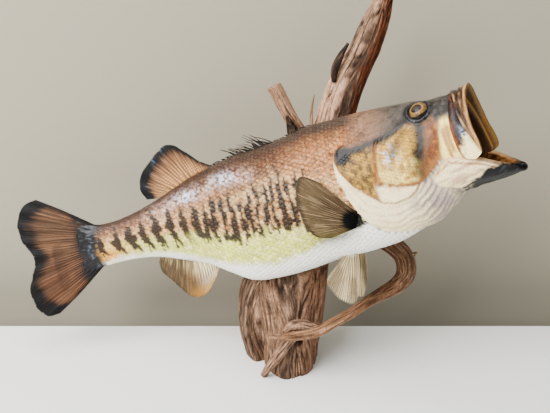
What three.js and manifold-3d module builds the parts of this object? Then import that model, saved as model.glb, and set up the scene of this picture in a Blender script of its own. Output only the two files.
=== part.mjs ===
// A mounted largemouth bass on its driftwood stand. Millimetres, +Z up.
// The origin is the middle of the driftwood's foot, on the floor. The fish looks
// towards +X and shows its right side to -Y.
//
// The fish is built straight, in fish coordinates held in a Vector3: x is the way from the
// base of the tail fin towards the snout, y the height over the backbone line, z the way to
// the fish's right. bend() then lays it along its curved backbone line.

import * as THREE from 'three';
import { mergeVertices } from 'three/addons/utils/BufferGeometryUtils.js';
import Module from 'manifold-3d';

const wasm = await Module();
wasm.setup();

const at = ( x, y, z = 0 ) => new THREE.Vector3( x, y, z );

// ---------------------------------------------------------------- driving dimensions

const GAP = 0.45; // between pieces that touch

// The backbone line, from the tail fin's base to the snout, in the stand's own frame.
const BACKBONE = new THREE.CubicBezierCurve3(
	at( - 221, 28, 134 ), at( - 20, 25, 182 ), at( 70, 0, 205 ), at( 174, - 64, 278 ) );
BACKBONE.arcLengthDivisions = 800;
const BACKBONE_LENGTH = BACKBONE.getLength();
const ROLL = { body: 16, head: 5, from: 230, to: 430 }; // degrees the back leans to the left

// Cross sections: place, top, bottom, height of the widest point, half width,
// and how square the upper and the lower half are (2 is an ellipse).
const BODY = [
	[ - 6, 29, - 27, 1, 4.5, 2, 2 ],
	[ 15, 24.6, - 24.6, 0, 8.5, 2, 2 ],
	[ 40, 26.6, - 24, 0, 11.5, 2.1, 2.1 ],
	[ 70, 34, - 27.3, 2, 15.5, 2.1, 2.1 ],
	[ 100, 44.5, - 36.5, 3, 21, 2.1, 2.1 ],
	[ 130, 55.5, - 47.5, 3, 28, 2.1, 2.1 ],
	[ 155, 61.5, - 62.5, 0, 33, 2.1, 2.2 ],
	[ 180, 66.5, - 75.5, - 3, 37.5, 2.1, 2.4 ],
	[ 210, 68.2, - 77.8, - 6, 41.5, 2.1, 2.5 ],
	[ 245, 71.5, - 75.8, - 6, 44, 2.1, 2.5 ],
	[ 280, 76, - 71.5, - 5, 44.5, 2.1, 2.5 ],
	[ 315, 74, - 71, - 6, 43, 2.1, 2.6 ],
	[ 345, 70.6, - 69, - 8, 40, 2.2, 2.6 ],
	[ 385, 63, - 58, - 10, 34, 2.3, 2.6 ],
];
const HEAD = [
	[ 300, 75.2, - 71.5, - 5, 45, 2.1, 2.6 ],
	[ 330, 72.6, - 70, - 6, 45.5, 2.2, 2.6 ],
	[ 360, 68.5, - 65, - 8, 43, 2.4, 2.6 ],
	[ 385, 63.4, - 60.5, - 8, 38.5, 2.5, 2.4 ],
	[ 402, 59.2, - 52.2, - 8, 35, 2.6, 2.4 ],
	[ 416, 54.2, - 46, - 8, 33.5, 2.6, 2.3 ],
	[ 430, 51.3, - 42, - 9, 33.5, 2.4, 2.3 ],
	[ 446, 49.2, - 40, - 10, 33, 2.1, 2.2 ],
	[ 460, 50.5, - 40, - 10, 31, 2, 2.2 ],
];
const LOWER_JAW = [
	[ 390, 8, - 44, - 8, 34, 2, 2.2 ],
	[ 425, 8, - 40, - 8, 34, 2.2, 2.2 ],
	[ 440, 0, - 42, - 14, 31.5, 2.2, 2.2 ],
	[ 452, - 8, - 43.5, - 20, 27, 2.2, 2.2 ],
	[ 462, - 14, - 43.8, - 27, 20, 2.2, 2.2 ],
	[ 469, - 24, - 43.5, - 35, 12, 2.2, 2.2 ],
	[ 472, - 33, - 43.2, - 40, 6, 2.2, 2.2 ],
	[ 474, - 38, - 42.6, - 40.6, 2.5, 2, 2 ],
];
const MOUTH_ROOF = [ // the hollow under the skull and within the upper jaw
	[ 372, 6, - 14, - 4, 8, 2, 2 ],
	[ 395, 20, - 30, - 6, 20, 2, 2 ],
	[ 420, 34, - 40, - 8, 26.5, 2.2, 2 ],
	[ 440, 41, - 42, - 10, 27, 2, 2 ],
	[ 462, 45, - 42, - 10, 26, 1.9, 2 ],
];
const MOUTH_FLOOR = [ // the hollow between the sides of the lower jaw
	[ 384, 4, - 26, - 6, 12, 2, 2 ],
	[ 400, 10, - 33.5, - 6, 23, 2, 2.4 ],
	[ 425, 20, - 34, - 6, 28, 2, 2.6 ],
	[ 440, 20, - 36.5, - 12, 26, 2, 2.6 ],
	[ 452, 20, - 38, - 16, 21.5, 2, 2.6 ],
	[ 462, 10, - 39, - 24, 14, 2, 2.6 ],
	[ 468.5, 0, - 39, - 30, 6.5, 2, 2.4 ],
];
const TONGUE = [
	[ 396, - 24, - 40, - 30, 7, 2, 2 ],
	[ 415, - 25, - 40, - 31, 9.5, 2, 2 ],
	[ 432, - 27, - 42, - 32, 8.5, 2, 2 ],
	[ 441, - 31, - 42, - 34, 5, 2, 2 ],
	[ 444, - 34, - 41, - 37, 1.5, 2, 2 ],
];

// Lines across the side of the fish: place and height.
const GILL_OPENING = [
	[ 332, 82 ], [ 329, 60 ], [ 325, 41 ], [ 313, 37.5 ], [ 309.4, 28 ], [ 309.8, 10 ],
	[ 317, - 16 ], [ 326.6, - 38 ], [ 340.4, - 53 ], [ 359.5, - 60.5 ], [ 384, - 66 ],
];
const GILL_COVER = [
	[ 364, 32 ], [ 345, 37.5 ], [ 326, 40 ], [ 314, 37 ], [ 310.5, 27 ], [ 314, 16 ], [ 326, - 2 ],
	[ 341, - 16.5 ], [ 350, - 26 ], [ 362, - 29 ], [ 376, - 27.5 ], [ 386, - 22.5 ], [ 382, - 15 ],
	[ 364, - 11 ], [ 353, - 3 ], [ 351, 10 ], [ 357, 22 ],
];
const THROAT_LINE = [ // the upper edge of the throat, from the gill opening to the jaw
	[ 306, 30 ], [ 312, 17 ], [ 325, - 3 ], [ 340, - 17.5 ], [ 349, - 27 ], [ 362, - 30.2 ],
	[ 377, - 28.5 ], [ 394, - 20.5 ], [ 440, - 20.5 ],
];
const LOWER_JAW_SIDE = [
	[ 393, - 20 ], [ 407, - 13 ], [ 422, - 5.5 ], [ 435, - 10.5 ], [ 449, - 17.5 ], [ 462, - 29.5 ],
	[ 470, - 37 ], [ 477, - 41.5 ], [ 477, - 46 ], [ 436, - 46 ], [ 425, - 39.5 ], [ 408, - 30 ],
];
const UPPER_JAW_SIDE = [
	[ 441, 54 ], [ 459, 54 ], [ 457.5, 48 ], [ 454.5, 30 ], [ 453.4, 12 ], [ 454.2, - 4 ],
	[ 452, - 12.5 ], [ 445.5, - 16 ], [ 438, - 14 ], [ 434.5, - 8 ], [ 435, 10 ], [ 439, 36 ],
];

const EYE = { place: at( 410.5, 45.2, 21 ), radius: 9.8, depth: 5.6, tilt: 33 }; // tilt is upwards, degrees
const SKULL_WALL = 6; // thickness of a gill cover
const DIVIDES = { tail: 68, trunk: 188, snout: 396 }; // where the fish is parted

// Fins: the line of the base, the line of the tips, in fish coordinates.
const CAUDAL = {
	base: [ at( 1, 27 ), at( 5, 10 ), at( 5, - 9 ), at( 2, - 25 ) ],
	tips: [
		at( - 62, 71 ), at( - 77, 67.5 ), at( - 86.5, 55 ), at( - 91, 38 ), at( - 87, 19 ), at( - 79, 0 ),
		at( - 86, - 17 ), at( - 93, - 35 ), at( - 90, - 56 ), at( - 78, - 70 ), at( - 63, - 69 ) ],
	rays: 18, steps: 3, root: 3.2, tip: 1.1, bow: 1.5, lift: 0,
};
const SOFT_DORSAL = {
	base: [ at( 158, 55 ), at( 130, 49 ), at( 99, 38 ) ],
	tips: [
		at( 158, 62 ), at( 145, 70 ), at( 135, 79.5 ), at( 126, 88.5 ), at( 117, 96 ), at( 107, 98.2 ),
		at( 96, 93.5 ), at( 85, 85.5 ), at( 74, 75.5 ), at( 67.5, 65 ), at( 66.8, 52 ), at( 71, 41 ) ],
	rays: 13, steps: 3, root: 2.6, tip: 1, bow: 0, lift: 0,
};
const ANAL = {
	base: [ at( 140, - 46 ), at( 110, - 36 ), at( 76, - 23 ) ],
	tips: [
		at( 140, - 53 ), at( 134, - 64 ), at( 127, - 73 ), at( 118, - 81 ), at( 108, - 84 ), at( 99, - 80.5 ),
		at( 89, - 69.5 ), at( 80, - 57.5 ), at( 72, - 46.5 ), at( 69.5, - 35 ) ],
	rays: 12, steps: 3, root: 2.4, tip: 1, bow: 0, lift: 0,
};
const SPINY_DORSAL = { front: 286, rear: 178, spines: 10, thickness: 2.4, lean: 0.55 };
const PECTORAL = {
	base: [ at( 321, - 26, 42.5 ), at( 319, - 33.5, 42 ), at( 314, - 42, 40.5 ) ],
	tips: [
		at( 300, 1, 49 ), at( 288, 14, 52 ), at( 272, 21, 54 ), at( 265, 10, 56 ), at( 263, - 8, 57 ),
		at( 264, - 26, 56 ), at( 271, - 40, 52 ), at( 286, - 46, 46 ) ],
	rays: 14, steps: 3, root: 4, tip: 1, bow: 0, lift: 2.2,
};
const PECTORAL_LEFT = { // folded against the flank, next to the driftwood
	...PECTORAL,
	base: PECTORAL.base.map( ( p ) => at( p.x, p.y, - p.z ) ),
	tips: [
		at( 300, 1, - 46.5 ), at( 288, 13, - 47 ), at( 273, 19, - 47.5 ), at( 266, 9, - 48.5 ), at( 264, - 8, - 49 ),
		at( 265, - 25, - 48 ), at( 272, - 38, - 45.5 ), at( 287, - 44, - 43 ) ],
	lift: - 0.8,
};
const PELVIC = {
	base: [ at( 301, - 66, 14 ), at( 294, - 66, 15.5 ), at( 287, - 66, 17 ) ],
	tips: [
		at( 296, - 94, 15 ), at( 290, - 112, 16 ), at( 283.5, - 120, 18 ), at( 274, - 116, 21 ),
		at( 266, - 104, 23 ), at( 262.5, - 94, 24 ), at( 265, - 86.5, 23 ), at( 276, - 78.5, 20 ) ],
	rays: 9, steps: 3, root: 3, tip: 1.1, bow: 0, lift: 0,
};

// Driftwood. Trunk with its stem, and the trunk's left lobe: height, middle x and y,
// half width, half depth.
const WOOD = [
	[ 0, 8, 13, 33, 57 ],
	[ 18, 8, 13, 34, 56 ],
	[ 45, 8, 14, 38, 54 ],
	[ 75, 8, 18, 42, 49 ],
	[ 100, 10, 26, 44, 43 ],
	[ 122, 15, 36, 42, 37 ],
	[ 150, 25, 54, 33, 27 ],
	[ 175, 31, 63, 28, 21 ],
	[ 205, 38, 66, 25, 18 ],
	[ 240, 48, 66, 24, 18 ],
	[ 275, 59, 65, 24, 18 ],
	[ 310, 68, 64, 23.5, 18 ],
	[ 335, 78, 63, 22.5, 17 ],
	[ 356, 89, 62, 20, 16 ],
	[ 390, 101, 62, 17, 13 ],
	[ 409, 107.5, 62, 12, 10 ],
	[ 426, 112, 62, 8, 7 ],
];
const LOBE = [
	[ 0, - 28, 28, 20, 37 ],
	[ 30, - 32, 26, 22, 38 ],
	[ 60, - 33, 26, 22, 38 ],
	[ 85, - 30, 28, 22, 36 ],
	[ 105, - 20, 34, 22, 32 ],
	[ 126, - 6, 40, 16, 24 ],
];
const WOOD_DIVIDE = 176;
const BRANCH = { // the long branch that hooks round under the head and back over the foot
	path: [
		at( 44, 56, 140 ), at( 82, 44, 149 ), at( 112, 24, 146 ), at( 128, 15, 138.5 ), at( 138, 10, 129 ),
		at( 141, 5, 119 ), at( 139, 0, 108.5 ), at( 130, - 5, 100 ), at( 113, - 15, 95 ), at( 94, - 25, 89 ),
		at( 75, - 35, 80.6 ), at( 57, - 42, 74 ), at( 35, - 49, 65 ), at( 6, - 51, 61 ), at( - 20, - 50, 60 ) ],
	girth: [ [ 0, 14 ], [ 0.15, 13 ], [ 0.3, 11.5 ], [ 0.42, 10.5 ], [ 0.5, 8.5 ], [ 0.62, 6.6 ],
		[ 0.85, 6.2 ], [ 0.93, 5.4 ], [ 1, 1.6 ] ],
	parts: { root: [ 0, 0.27 ], hook: [ 0.27, 0.47 ], arm: [ 0.47, 1 ] },
};
const STUB = {
	path: [ at( 46, 66, 222 ), at( 21, 62, 262 ), at( 3, 60, 290 ), at( - 12, 60, 317 ) ],
	girth: [ [ 0, 9 ], [ 0.5, 8.5 ], [ 1, 9 ] ],
};
const SPLINTER = {
	path: [ at( 56, 52, 322 ), at( 56, 50, 336 ), at( 63, 50, 352 ), at( 70, 52, 364 ) ],
	girth: [ [ 0, 3 ], [ 0.4, 5 ], [ 1, 2 ] ],
};
const SHARD = {
	path: [ at( 34, 50, 244 ), at( 14, 48, 262 ), at( 3, 48, 285 ) ],
	girth: [ [ 0, 8 ], [ 0.6, 8 ], [ 1, 3 ] ],
};
const TWIG = {
	path: [ at( 40, 56, 262 ), at( 32, 52, 275 ), at( 32, 56, 290 ), at( 34.5, 58, 308 ) ],
	girth: [ [ 0, 2.4 ], [ 0.5, 2 ], [ 1, 0.8 ] ],
};
const ROOT = {
	path: [ at( 14, - 42, 62 ), at( - 2, - 44, 40 ), at( - 14, - 42, 20 ), at( - 23, - 36, 1 ) ],
	girth: [ [ 0, 7 ], [ 0.6, 6 ], [ 1, 4 ] ],
};

const FINISH = {
	skin: new THREE.MeshStandardMaterial( { color: 0x9a7a52, roughness: 0.35, metalness: 0 } ),
	belly: new THREE.MeshStandardMaterial( { color: 0xe2dccb, roughness: 0.35, metalness: 0 } ),
	mouth: new THREE.MeshStandardMaterial( { color: 0x9a5f30, roughness: 0.3, metalness: 0 } ),
	fin: new THREE.MeshStandardMaterial( { color: 0x7c5434, roughness: 0.4, metalness: 0 } ),
	glass: new THREE.MeshStandardMaterial( { color: 0x2b2219, roughness: 0.05, metalness: 0 } ),
	wood: new THREE.MeshStandardMaterial( { color: 0x7a5a42, roughness: 0.85, metalness: 0 } ),
};

// ---------------------------------------------------------------- tables and the backbone

// A smooth value between the rows of a table, whose first column is the place.
function along( table, column, place ) {

	let i = table.findIndex( ( row ) => row[ 0 ] > place );
	i = i < 0 ? table.length - 2 : Math.max( i - 1, 0 );
	const slope = ( k ) => {

		const before = table[ Math.max( k - 1, 0 ) ];
		const after = table[ Math.min( k + 1, table.length - 1 ) ];
		return ( after[ column ] - before[ column ] ) / ( after[ 0 ] - before[ 0 ] );

	};
	const span = table[ i + 1 ][ 0 ] - table[ i ][ 0 ];
	const t = THREE.MathUtils.clamp( ( place - table[ i ][ 0 ] ) / span, 0, 1 );
	const from = table[ i ][ column ];
	const to = table[ i + 1 ][ column ];
	const leave = slope( i ) * span;
	const arrive = slope( i + 1 ) * span;
	return from + t * leave + t * t * ( 3 * ( to - from ) - 2 * leave - arrive )
		+ t * t * t * ( leave + arrive - 2 * ( to - from ) );

}

function bend( p ) {

	const u = THREE.MathUtils.clamp( p.x / BACKBONE_LENGTH, 0, 1 );
	const forward = BACKBONE.getTangentAt( u );
	const right = forward.clone().cross( at( 0, 0, 1 ) ).normalize();
	const up = right.clone().cross( forward );
	const turn = THREE.MathUtils.degToRad( THREE.MathUtils.lerp(
		ROLL.body, ROLL.head, THREE.MathUtils.smoothstep( p.x, ROLL.from, ROLL.to ) ) );
	return BACKBONE.getPointAt( u )
		.addScaledVector( forward, p.x - u * BACKBONE_LENGTH )
		.addScaledVector( up, p.y * Math.cos( turn ) + p.z * Math.sin( turn ) )
		.addScaledVector( right, p.z * Math.cos( turn ) - p.y * Math.sin( turn ) );

}

// ---------------------------------------------------------------- closed solids

function solidOf( geometry ) {

	geometry.deleteAttribute( 'normal' );
	geometry.deleteAttribute( 'uv' );
	const merged = mergeVertices( geometry, 1e-4 );
	const triVerts = new Uint32Array( merged.index.array );
	const vertProperties = new Float32Array( merged.attributes.position.array );
	const solid = new wasm.Manifold( new wasm.Mesh( { numProp: 3, vertProperties, triVerts } ) );
	return solid;

}

// Closed rings of points, one after the other, skinned and capped at both ends.
function loft( rings ) {

	const count = rings[ 0 ].length;
	const points = rings.flat();
	const faces = [];
	for ( let i = 0; i + 1 < rings.length; i ++ ) {

		for ( let j = 0; j < count; j ++ ) {

			const a = i * count + j;
			const b = i * count + ( j + 1 ) % count;
			faces.push( a, a + count, b, b, a + count, b + count );

		}

	}

	for ( const [ ring, start, flip ] of [ [ rings[ 0 ], 0, true ], [ rings.at( - 1 ), points.length - count, false ] ] ) {

		const middle = ring.reduce( ( sum, p ) => sum.add( p ), at( 0, 0 ) ).divideScalar( count );
		points.push( middle );
		for ( let j = 0; j < count; j ++ ) {

			const a = start + j;
			const b = start + ( j + 1 ) % count;
			faces.push( points.length - 1, flip ? a : b, flip ? b : a );

		}

	}

	return closed( points, faces );

}

function closed( points, faces ) {

	let volume = 0;
	for ( let k = 0; k < faces.length; k += 3 ) {

		const [ a, b, c ] = [ points[ faces[ k ] ], points[ faces[ k + 1 ] ], points[ faces[ k + 2 ] ] ];
		volume += a.dot( b.clone().cross( c ) );

	}

	const geometry = new THREE.BufferGeometry().setFromPoints( points );
	geometry.setIndex( volume > 0 ? faces : faces.toReversed() );
	return solidOf( geometry );

}

// A body of cross sections between two places, larger all round by grow.
function barrel( table, from, to, { step = 14, sides = 18, grow = 0 } = {} ) {

	const count = Math.max( 2, Math.ceil( ( to - from ) / step ) );
	const rings = [];
	for ( let i = 0; i <= count; i ++ ) {

		const place = THREE.MathUtils.lerp( from, to, i / count );
		const [ top, bottom, middle, half, upper, lower ] = [ 1, 2, 3, 4, 5, 6 ]
			.map( ( column ) => along( table, column, place ) );
		const ring = [];
		for ( let j = 0; j < sides; j ++ ) {

			const rise = Math.cos( j / sides * 2 * Math.PI );
			const side = Math.sin( j / sides * 2 * Math.PI );
			const power = 2 / ( rise > 0 ? upper : lower );
			const reach = ( rise > 0 ? top - middle : middle - bottom ) + grow;
			ring.push( at( place,
				middle + Math.sign( rise ) * reach * Math.abs( rise ) ** power,
				Math.sign( side ) * ( half + grow ) * Math.abs( side ) ** power ) );

		}

		rings.push( ring );

	}

	return loft( rings );

}

// A flat outline over place and height, drawn right through the fish.
function slab( outline, depth = 140 ) {

	const shape = new THREE.Shape( outline.map( ( [ x, y ] ) => new THREE.Vector2( x, y ) ) );
	const geometry = new THREE.ExtrudeGeometry( shape, { depth, bevelEnabled: false } );
	geometry.translate( 0, 0, - depth / 2 );
	return solidOf( geometry );

}

// An open line moved to its left by a distance.
function beside( line, distance ) {

	return line.map( ( [ x, y ], i ) => {

		const before = line[ Math.max( i - 1, 0 ) ];
		const after = line[ Math.min( i + 1, line.length - 1 ) ];
		const way = new THREE.Vector2( after[ 0 ] - before[ 0 ], after[ 1 ] - before[ 1 ] ).normalize();
		return [ x - way.y * distance, y + way.x * distance ];

	} );

}

// A closed outline pushed out all round by a distance.
function grown( outline, distance ) {

	const corners = outline.map( ( [ x, y ] ) => new THREE.Vector2( x, y ) );
	const outwards = THREE.ShapeUtils.area( corners ) > 0 ? - distance : distance;
	return beside( [ outline.at( - 1 ), ...outline, outline[ 0 ] ], outwards ).slice( 1, - 1 );

}

// A fin: a thin web between the line of its base and the line of its tips.
function web( { base, tips, rays, steps, root, tip, bow, lift, even = true }, body ) {

	const baseLine = new THREE.CatmullRomCurve3( base );
	const tipLine = new THREE.CatmullRomCurve3( tips );
	const faces = [];
	const pick = ( line, share ) => even ? line.getPointAt( share ) : line.getPoint( share );
	const sheets = [ 1, - 1 ].map( ( side ) => {

		const sheet = [];
		for ( let i = 0; i <= rays; i ++ ) {

			for ( let j = 0; j <= steps; j ++ ) {

				const p = pick( baseLine, i / rays ).lerp( pick( tipLine, i / rays ), j / steps );
				const arch = Math.sin( Math.PI * j / steps );
				p.y += bow * arch * ( 1 - 2 * i / rays );
				p.z += lift * arch + side * THREE.MathUtils.lerp( root, tip, j / steps ) / 2;
				sheet.push( p );

			}

		}

		return sheet;

	} );
	const across = steps + 1;
	const back = sheets[ 0 ].length;
	const quad = ( a, b, c, d ) => faces.push( a, b, c, a, c, d );
	for ( let i = 0; i < rays; i ++ ) {

		for ( let j = 0; j < steps; j ++ ) {

			const a = i * across + j;
			quad( a, a + across, a + across + 1, a + 1 );
			quad( back + a, back + a + 1, back + a + across + 1, back + a + across );

		}

		const low = i * across;
		const high = low + steps;
		quad( low, back + low, back + low + across, low + across );
		quad( high, high + across, back + high + across, back + high );

	}

	for ( let j = 0; j < steps; j ++ ) {

		const last = rays * across + j;
		quad( j, j + 1, back + j + 1, back + j );
		quad( last, back + last, back + last + 1, last + 1 );

	}

	return closed( sheets.flat(), faces ).subtract( body );

}

// The same fin on the left side.
const mirrored = ( fin ) => ( {
	...fin,
	lift: - fin.lift,
	base: fin.base.map( ( p ) => at( p.x, p.y, - p.z ) ),
	tips: fin.tips.map( ( p ) => at( p.x, p.y, - p.z ) ),
} );

// A solid's vertices, moved by a function of each point.
function moved( solid, move ) {

	const { vertProperties, triVerts } = solid.getMesh();
	const points = [];
	for ( let k = 0; k < vertProperties.length; k += 3 ) {

		points.push( move( at( vertProperties[ k ], vertProperties[ k + 1 ], vertProperties[ k + 2 ] ) ) );

	}

	return closed( points, Array.from( triVerts ) );

}

// ---------------------------------------------------------------- the fish

function fishSolids() {

	const whole = barrel( BODY, - 6, 385, { grow: GAP } );
	const ahead = slab( [ ...beside( GILL_OPENING, GAP ), [ 480, - 66 ], [ 480, 82 ] ] );
	const behind = slab( [ ...GILL_OPENING, [ 384, - 90 ], [ 150, - 90 ], [ 150, 82 ] ] );
	const solids = {
		tail: barrel( BODY, - 6, DIVIDES.tail, { step: 8 } ),
		trunk_rear: barrel( BODY, DIVIDES.tail + GAP, DIVIDES.trunk ),
		trunk_front: barrel( BODY, DIVIDES.trunk + GAP, 384 ).intersect( behind ),
	};

	const core = ( grow ) => barrel( HEAD, 302, 460, { sides: 20, step: 15, grow } );
	const head = core( 0 );
	const roof = barrel( MOUTH_ROOF, 372, 462, { sides: 12, step: 20 } );
	const cavity = ( grow ) => barrel( MOUTH_FLOOR, 384, 468.5, { sides: 12, step: 16, grow } );
	const floor = cavity( 0 );
	const jawOutside = barrel( LOWER_JAW, 390, 474, { step: 6 } ).intersect( slab( LOWER_JAW_SIDE ) );
	const jawSpace = barrel( LOWER_JAW, 390, 474, { step: 6, grow: GAP } )
		.intersect( slab( grown( LOWER_JAW_SIDE, GAP ) ) );
	const upperSpace = slab( grown( UPPER_JAW_SIDE, GAP ) ).add( slab( [
		[ 441 - GAP, 54 ], [ 480, 54 ], [ 480, - 60 ], [ 446, - 40 ], [ 442, - 14 ] ] ) );
	solids.upper_jaw = head.intersect( slab( UPPER_JAW_SIDE ) ).subtract( roof ).subtract( jawSpace );
	solids.lower_jaw = jawOutside.subtract( floor );

	const coverShell = head.intersect( slab( GILL_COVER ) ).subtract( core( - SKULL_WALL + GAP ) );
	const coverSpace = slab( grown( GILL_COVER, GAP ) ).subtract( core( - SKULL_WALL ) );
	solids.gill_cover_right = coverShell.intersect( ahead ).intersect( halfSlab( 290, 1 ) );
	solids.gill_cover_left = coverShell.intersect( ahead ).intersect( halfSlab( 290, - 1 ) );

	const below = slab( [ ...THROAT_LINE, [ 440, - 90 ], [ 306, - 90 ] ] );
	const above = slab( [ ...beside( THROAT_LINE, GAP ), [ 470, - 20.5 ], [ 470, 90 ], [ 306, 90 ] ] );
	const hollow = roof.add( floor );
	const front = slab( [ [ 426, - 90 ], [ 426, 0 ], [ 500, 0 ], [ 500, - 90 ] ] );
	solids.throat = head.intersect( ahead ).intersect( below )
		.subtract( hollow ).subtract( jawSpace ).subtract( coverSpace ).subtract( front );
	const skull = head.intersect( ahead ).intersect( above )
		.subtract( hollow ).subtract( jawSpace ).subtract( coverSpace ).subtract( upperSpace );
	const behindSnout = slab( [ [ 290, - 90 ], [ DIVIDES.snout, - 90 ], [ DIVIDES.snout, 90 ], [ 290, 90 ] ] );
	solids.head = skull.intersect( behindSnout );
	solids.tongue = barrel( TONGUE, 396, 444, { sides: 12 } ).intersect( cavity( - GAP ) );

	for ( const [ side, name ] of [ [ 1, 'right' ], [ - 1, 'left' ] ] ) {

		solids[ `snout_${ name }` ] = skull.intersect( halfSlab( DIVIDES.snout + GAP, side ) )
			.subtract( eyeball( side, GAP ) );
		solids[ `eye_${ name }` ] = eyeball( side, 0 );

	}

	solids.caudal_fin = web( CAUDAL, whole );
	solids.dorsal_fin_soft = web( SOFT_DORSAL, whole );
	solids.dorsal_fin_spiny = spinyDorsal( whole );
	solids.anal_fin = web( ANAL, whole );
	const shoulder = whole.add( head );
	solids.pectoral_fin_right = web( PECTORAL, shoulder );
	solids.pectoral_fin_left = web( PECTORAL_LEFT, shoulder );
	solids.pelvic_fin_right = web( PELVIC, whole );
	solids.pelvic_fin_left = web( mirrored( PELVIC ), whole );
	return { solids, whole };

}

// All of the head ahead of a place, on the right (1) or the left (-1), just clear of the middle.
function halfSlab( from, side ) {

	const depth = 120;
	return slab( [ [ from, - 90 ], [ 480, - 90 ], [ 480, 90 ], [ from, 90 ] ], depth )
		.translate( [ 0, 0, side * ( depth + GAP ) / 2 ] );

}

// A lens of glass that looks out and a little up, on the right (1) or the left (-1) side.
function eyeball( side, grow ) {

	const { place, radius, depth, tilt } = EYE;
	const geometry = new THREE.SphereGeometry( radius + grow, 14, 8 );
	geometry.rotateX( Math.PI / 2 );
	geometry.scale( 1, 1, ( depth + grow ) / ( radius + grow ) );
	geometry.rotateX( - side * THREE.MathUtils.degToRad( tilt ) );
	geometry.translate( place.x, place.y, side * place.z );
	return solidOf( geometry );

}

// The folded spiny fin: spines lying back along the ridge, their tips standing clear.
function spinyDorsal( body ) {

	const { front, rear, spines, thickness, lean } = SPINY_DORSAL;
	const base = [];
	const tips = [];
	for ( let i = 0; i <= spines * 2; i ++ ) {

		const share = i / ( spines * 2 );
		const place = THREE.MathUtils.lerp( front, rear, share );
		const ridge = along( BODY, 1, place );
		const rise = i % 2 ? 4 + 12 * Math.sin( Math.PI * share ** 2.6 ) : 2.5;
		base.push( at( place, ridge - 4, 0 ) );
		tips.push( at( place - ( i % 2 ? 9 : 3 ), ridge + rise, - rise * lean ) );

	}

	const fin = { base, tips, rays: spines * 2, steps: 1, root: thickness, tip: 1, bow: 0, lift: 0, even: false };
	return web( fin, body );

}

// ---------------------------------------------------------------- the driftwood

// Level sections of the trunk and stem, each a lumpy ellipse.
function bole( table, from, to, step, sides = 24 ) {

	const count = Math.ceil( ( to - from ) / step );
	const rings = [];
	for ( let i = 0; i <= count; i ++ ) {

		const height = THREE.MathUtils.lerp( from, to, i / count );
		const [ x, y, wide, deep ] = [ 1, 2, 3, 4 ].map( ( column ) => along( table, column, height ) );
		const ring = [];
		for ( let j = 0; j < sides; j ++ ) {

			const angle = j / sides * 2 * Math.PI;
			const size = 1 + 0.03 * Math.cos( 3 * angle + 0.6 + height / 90 )
				+ 0.02 * Math.cos( 7 * angle + height / 25 );
			ring.push( at( x + wide * size * Math.cos( angle ), y + deep * size * Math.sin( angle ), height ) );

		}

		rings.push( ring );

	}

	return loft( rings );

}

// A length of branch between two shares of its path, larger all round by grow.
function limb( { path, girth }, { from = 0, to = 1, grow = 0, sides = 8, spacing = 11, flat = 0.9 } = {} ) {

	const curve = new THREE.CatmullRomCurve3( path );
	const frames = curve.computeFrenetFrames( 200 );
	const count = Math.max( 2, Math.ceil( curve.getLength() * ( to - from ) / spacing ) );
	const rings = [];
	for ( let i = 0; i <= count; i ++ ) {

		const share = THREE.MathUtils.lerp( from, to, i / count );
		const frame = Math.round( share * 200 );
		const middle = curve.getPointAt( share );
		const ring = [];
		for ( let j = 0; j < sides; j ++ ) {

			const angle = j / sides * 2 * Math.PI;
			const size = along( girth, 1, share ) * ( 1 + 0.07 * Math.cos( 3 * angle + 9 * share ) ) + grow;
			ring.push( middle.clone()
				.addScaledVector( frames.normals[ frame ], size * Math.cos( angle ) )
				.addScaledVector( frames.binormals[ frame ], size * flat * Math.sin( angle ) ) );

		}

		rings.push( ring );

	}

	return loft( rings );

}

function woodSolids( fish ) {

	const { root, hook, arm } = BRANCH.parts;
	const slip = 0.0006; // keeps the branch's lengths apart, as a share of its path
	const branch = {
		driftwood_branch_root: limb( BRANCH, { from: root[ 0 ], to: root[ 1 ] - slip } ),
		driftwood_branch_hook: limb( BRANCH, { from: hook[ 0 ] + slip, to: hook[ 1 ] - slip } ),
		driftwood_branch_arm: limb( BRANCH, { from: arm[ 0 ] + slip, to: arm[ 1 ] } ),
	};
	const branchSpace = limb( BRANCH, { grow: GAP } );
	const floorBlock = solidOf( new THREE.BoxGeometry( 400, 400, 40 ) ).translate( [ 0, 0, - 20 ] );
	const shardSpace = limb( SHARD, { grow: GAP, sides: 6 } );
	const stubSpace = limb( STUB, { grow: GAP } );
	const twigSpace = limb( TWIG, { grow: GAP, sides: 6 } );
	return {
		driftwood_trunk: bole( WOOD, 0, WOOD_DIVIDE, 20, 20 ).add( bole( LOBE, 0, 126, 20, 12 ) )
			.add( limb( ROOT, { sides: 6 } ) ).subtract( floorBlock )
			.subtract( branchSpace ).subtract( fish ),
		driftwood_stem: bole( WOOD, WOOD_DIVIDE + GAP, 426, 20, 14 ).add( limb( SPLINTER, { sides: 6 } ) )
			.subtract( stubSpace ).subtract( shardSpace )
			.subtract( twigSpace ).subtract( fish ),
		...branch,
		driftwood_stub: limb( STUB ).subtract( shardSpace ).subtract( fish ),
		driftwood_shard: limb( SHARD, { sides: 6 } ).subtract( fish ),
		driftwood_twig: limb( TWIG, { sides: 6 } ).subtract( shardSpace ).subtract( fish ),
	};

}

// ---------------------------------------------------------------- the whole mount

function finishOf( name ) {

	if ( name.startsWith( 'driftwood' ) ) return FINISH.wood;
	if ( name.startsWith( 'eye' ) ) return FINISH.glass;
	if ( name.includes( 'fin' ) ) return FINISH.fin;
	if ( name === 'throat' || name === 'lower_jaw' ) return FINISH.belly;
	if ( name === 'tongue' ) return FINISH.mouth;
	return FINISH.skin;

}

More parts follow.
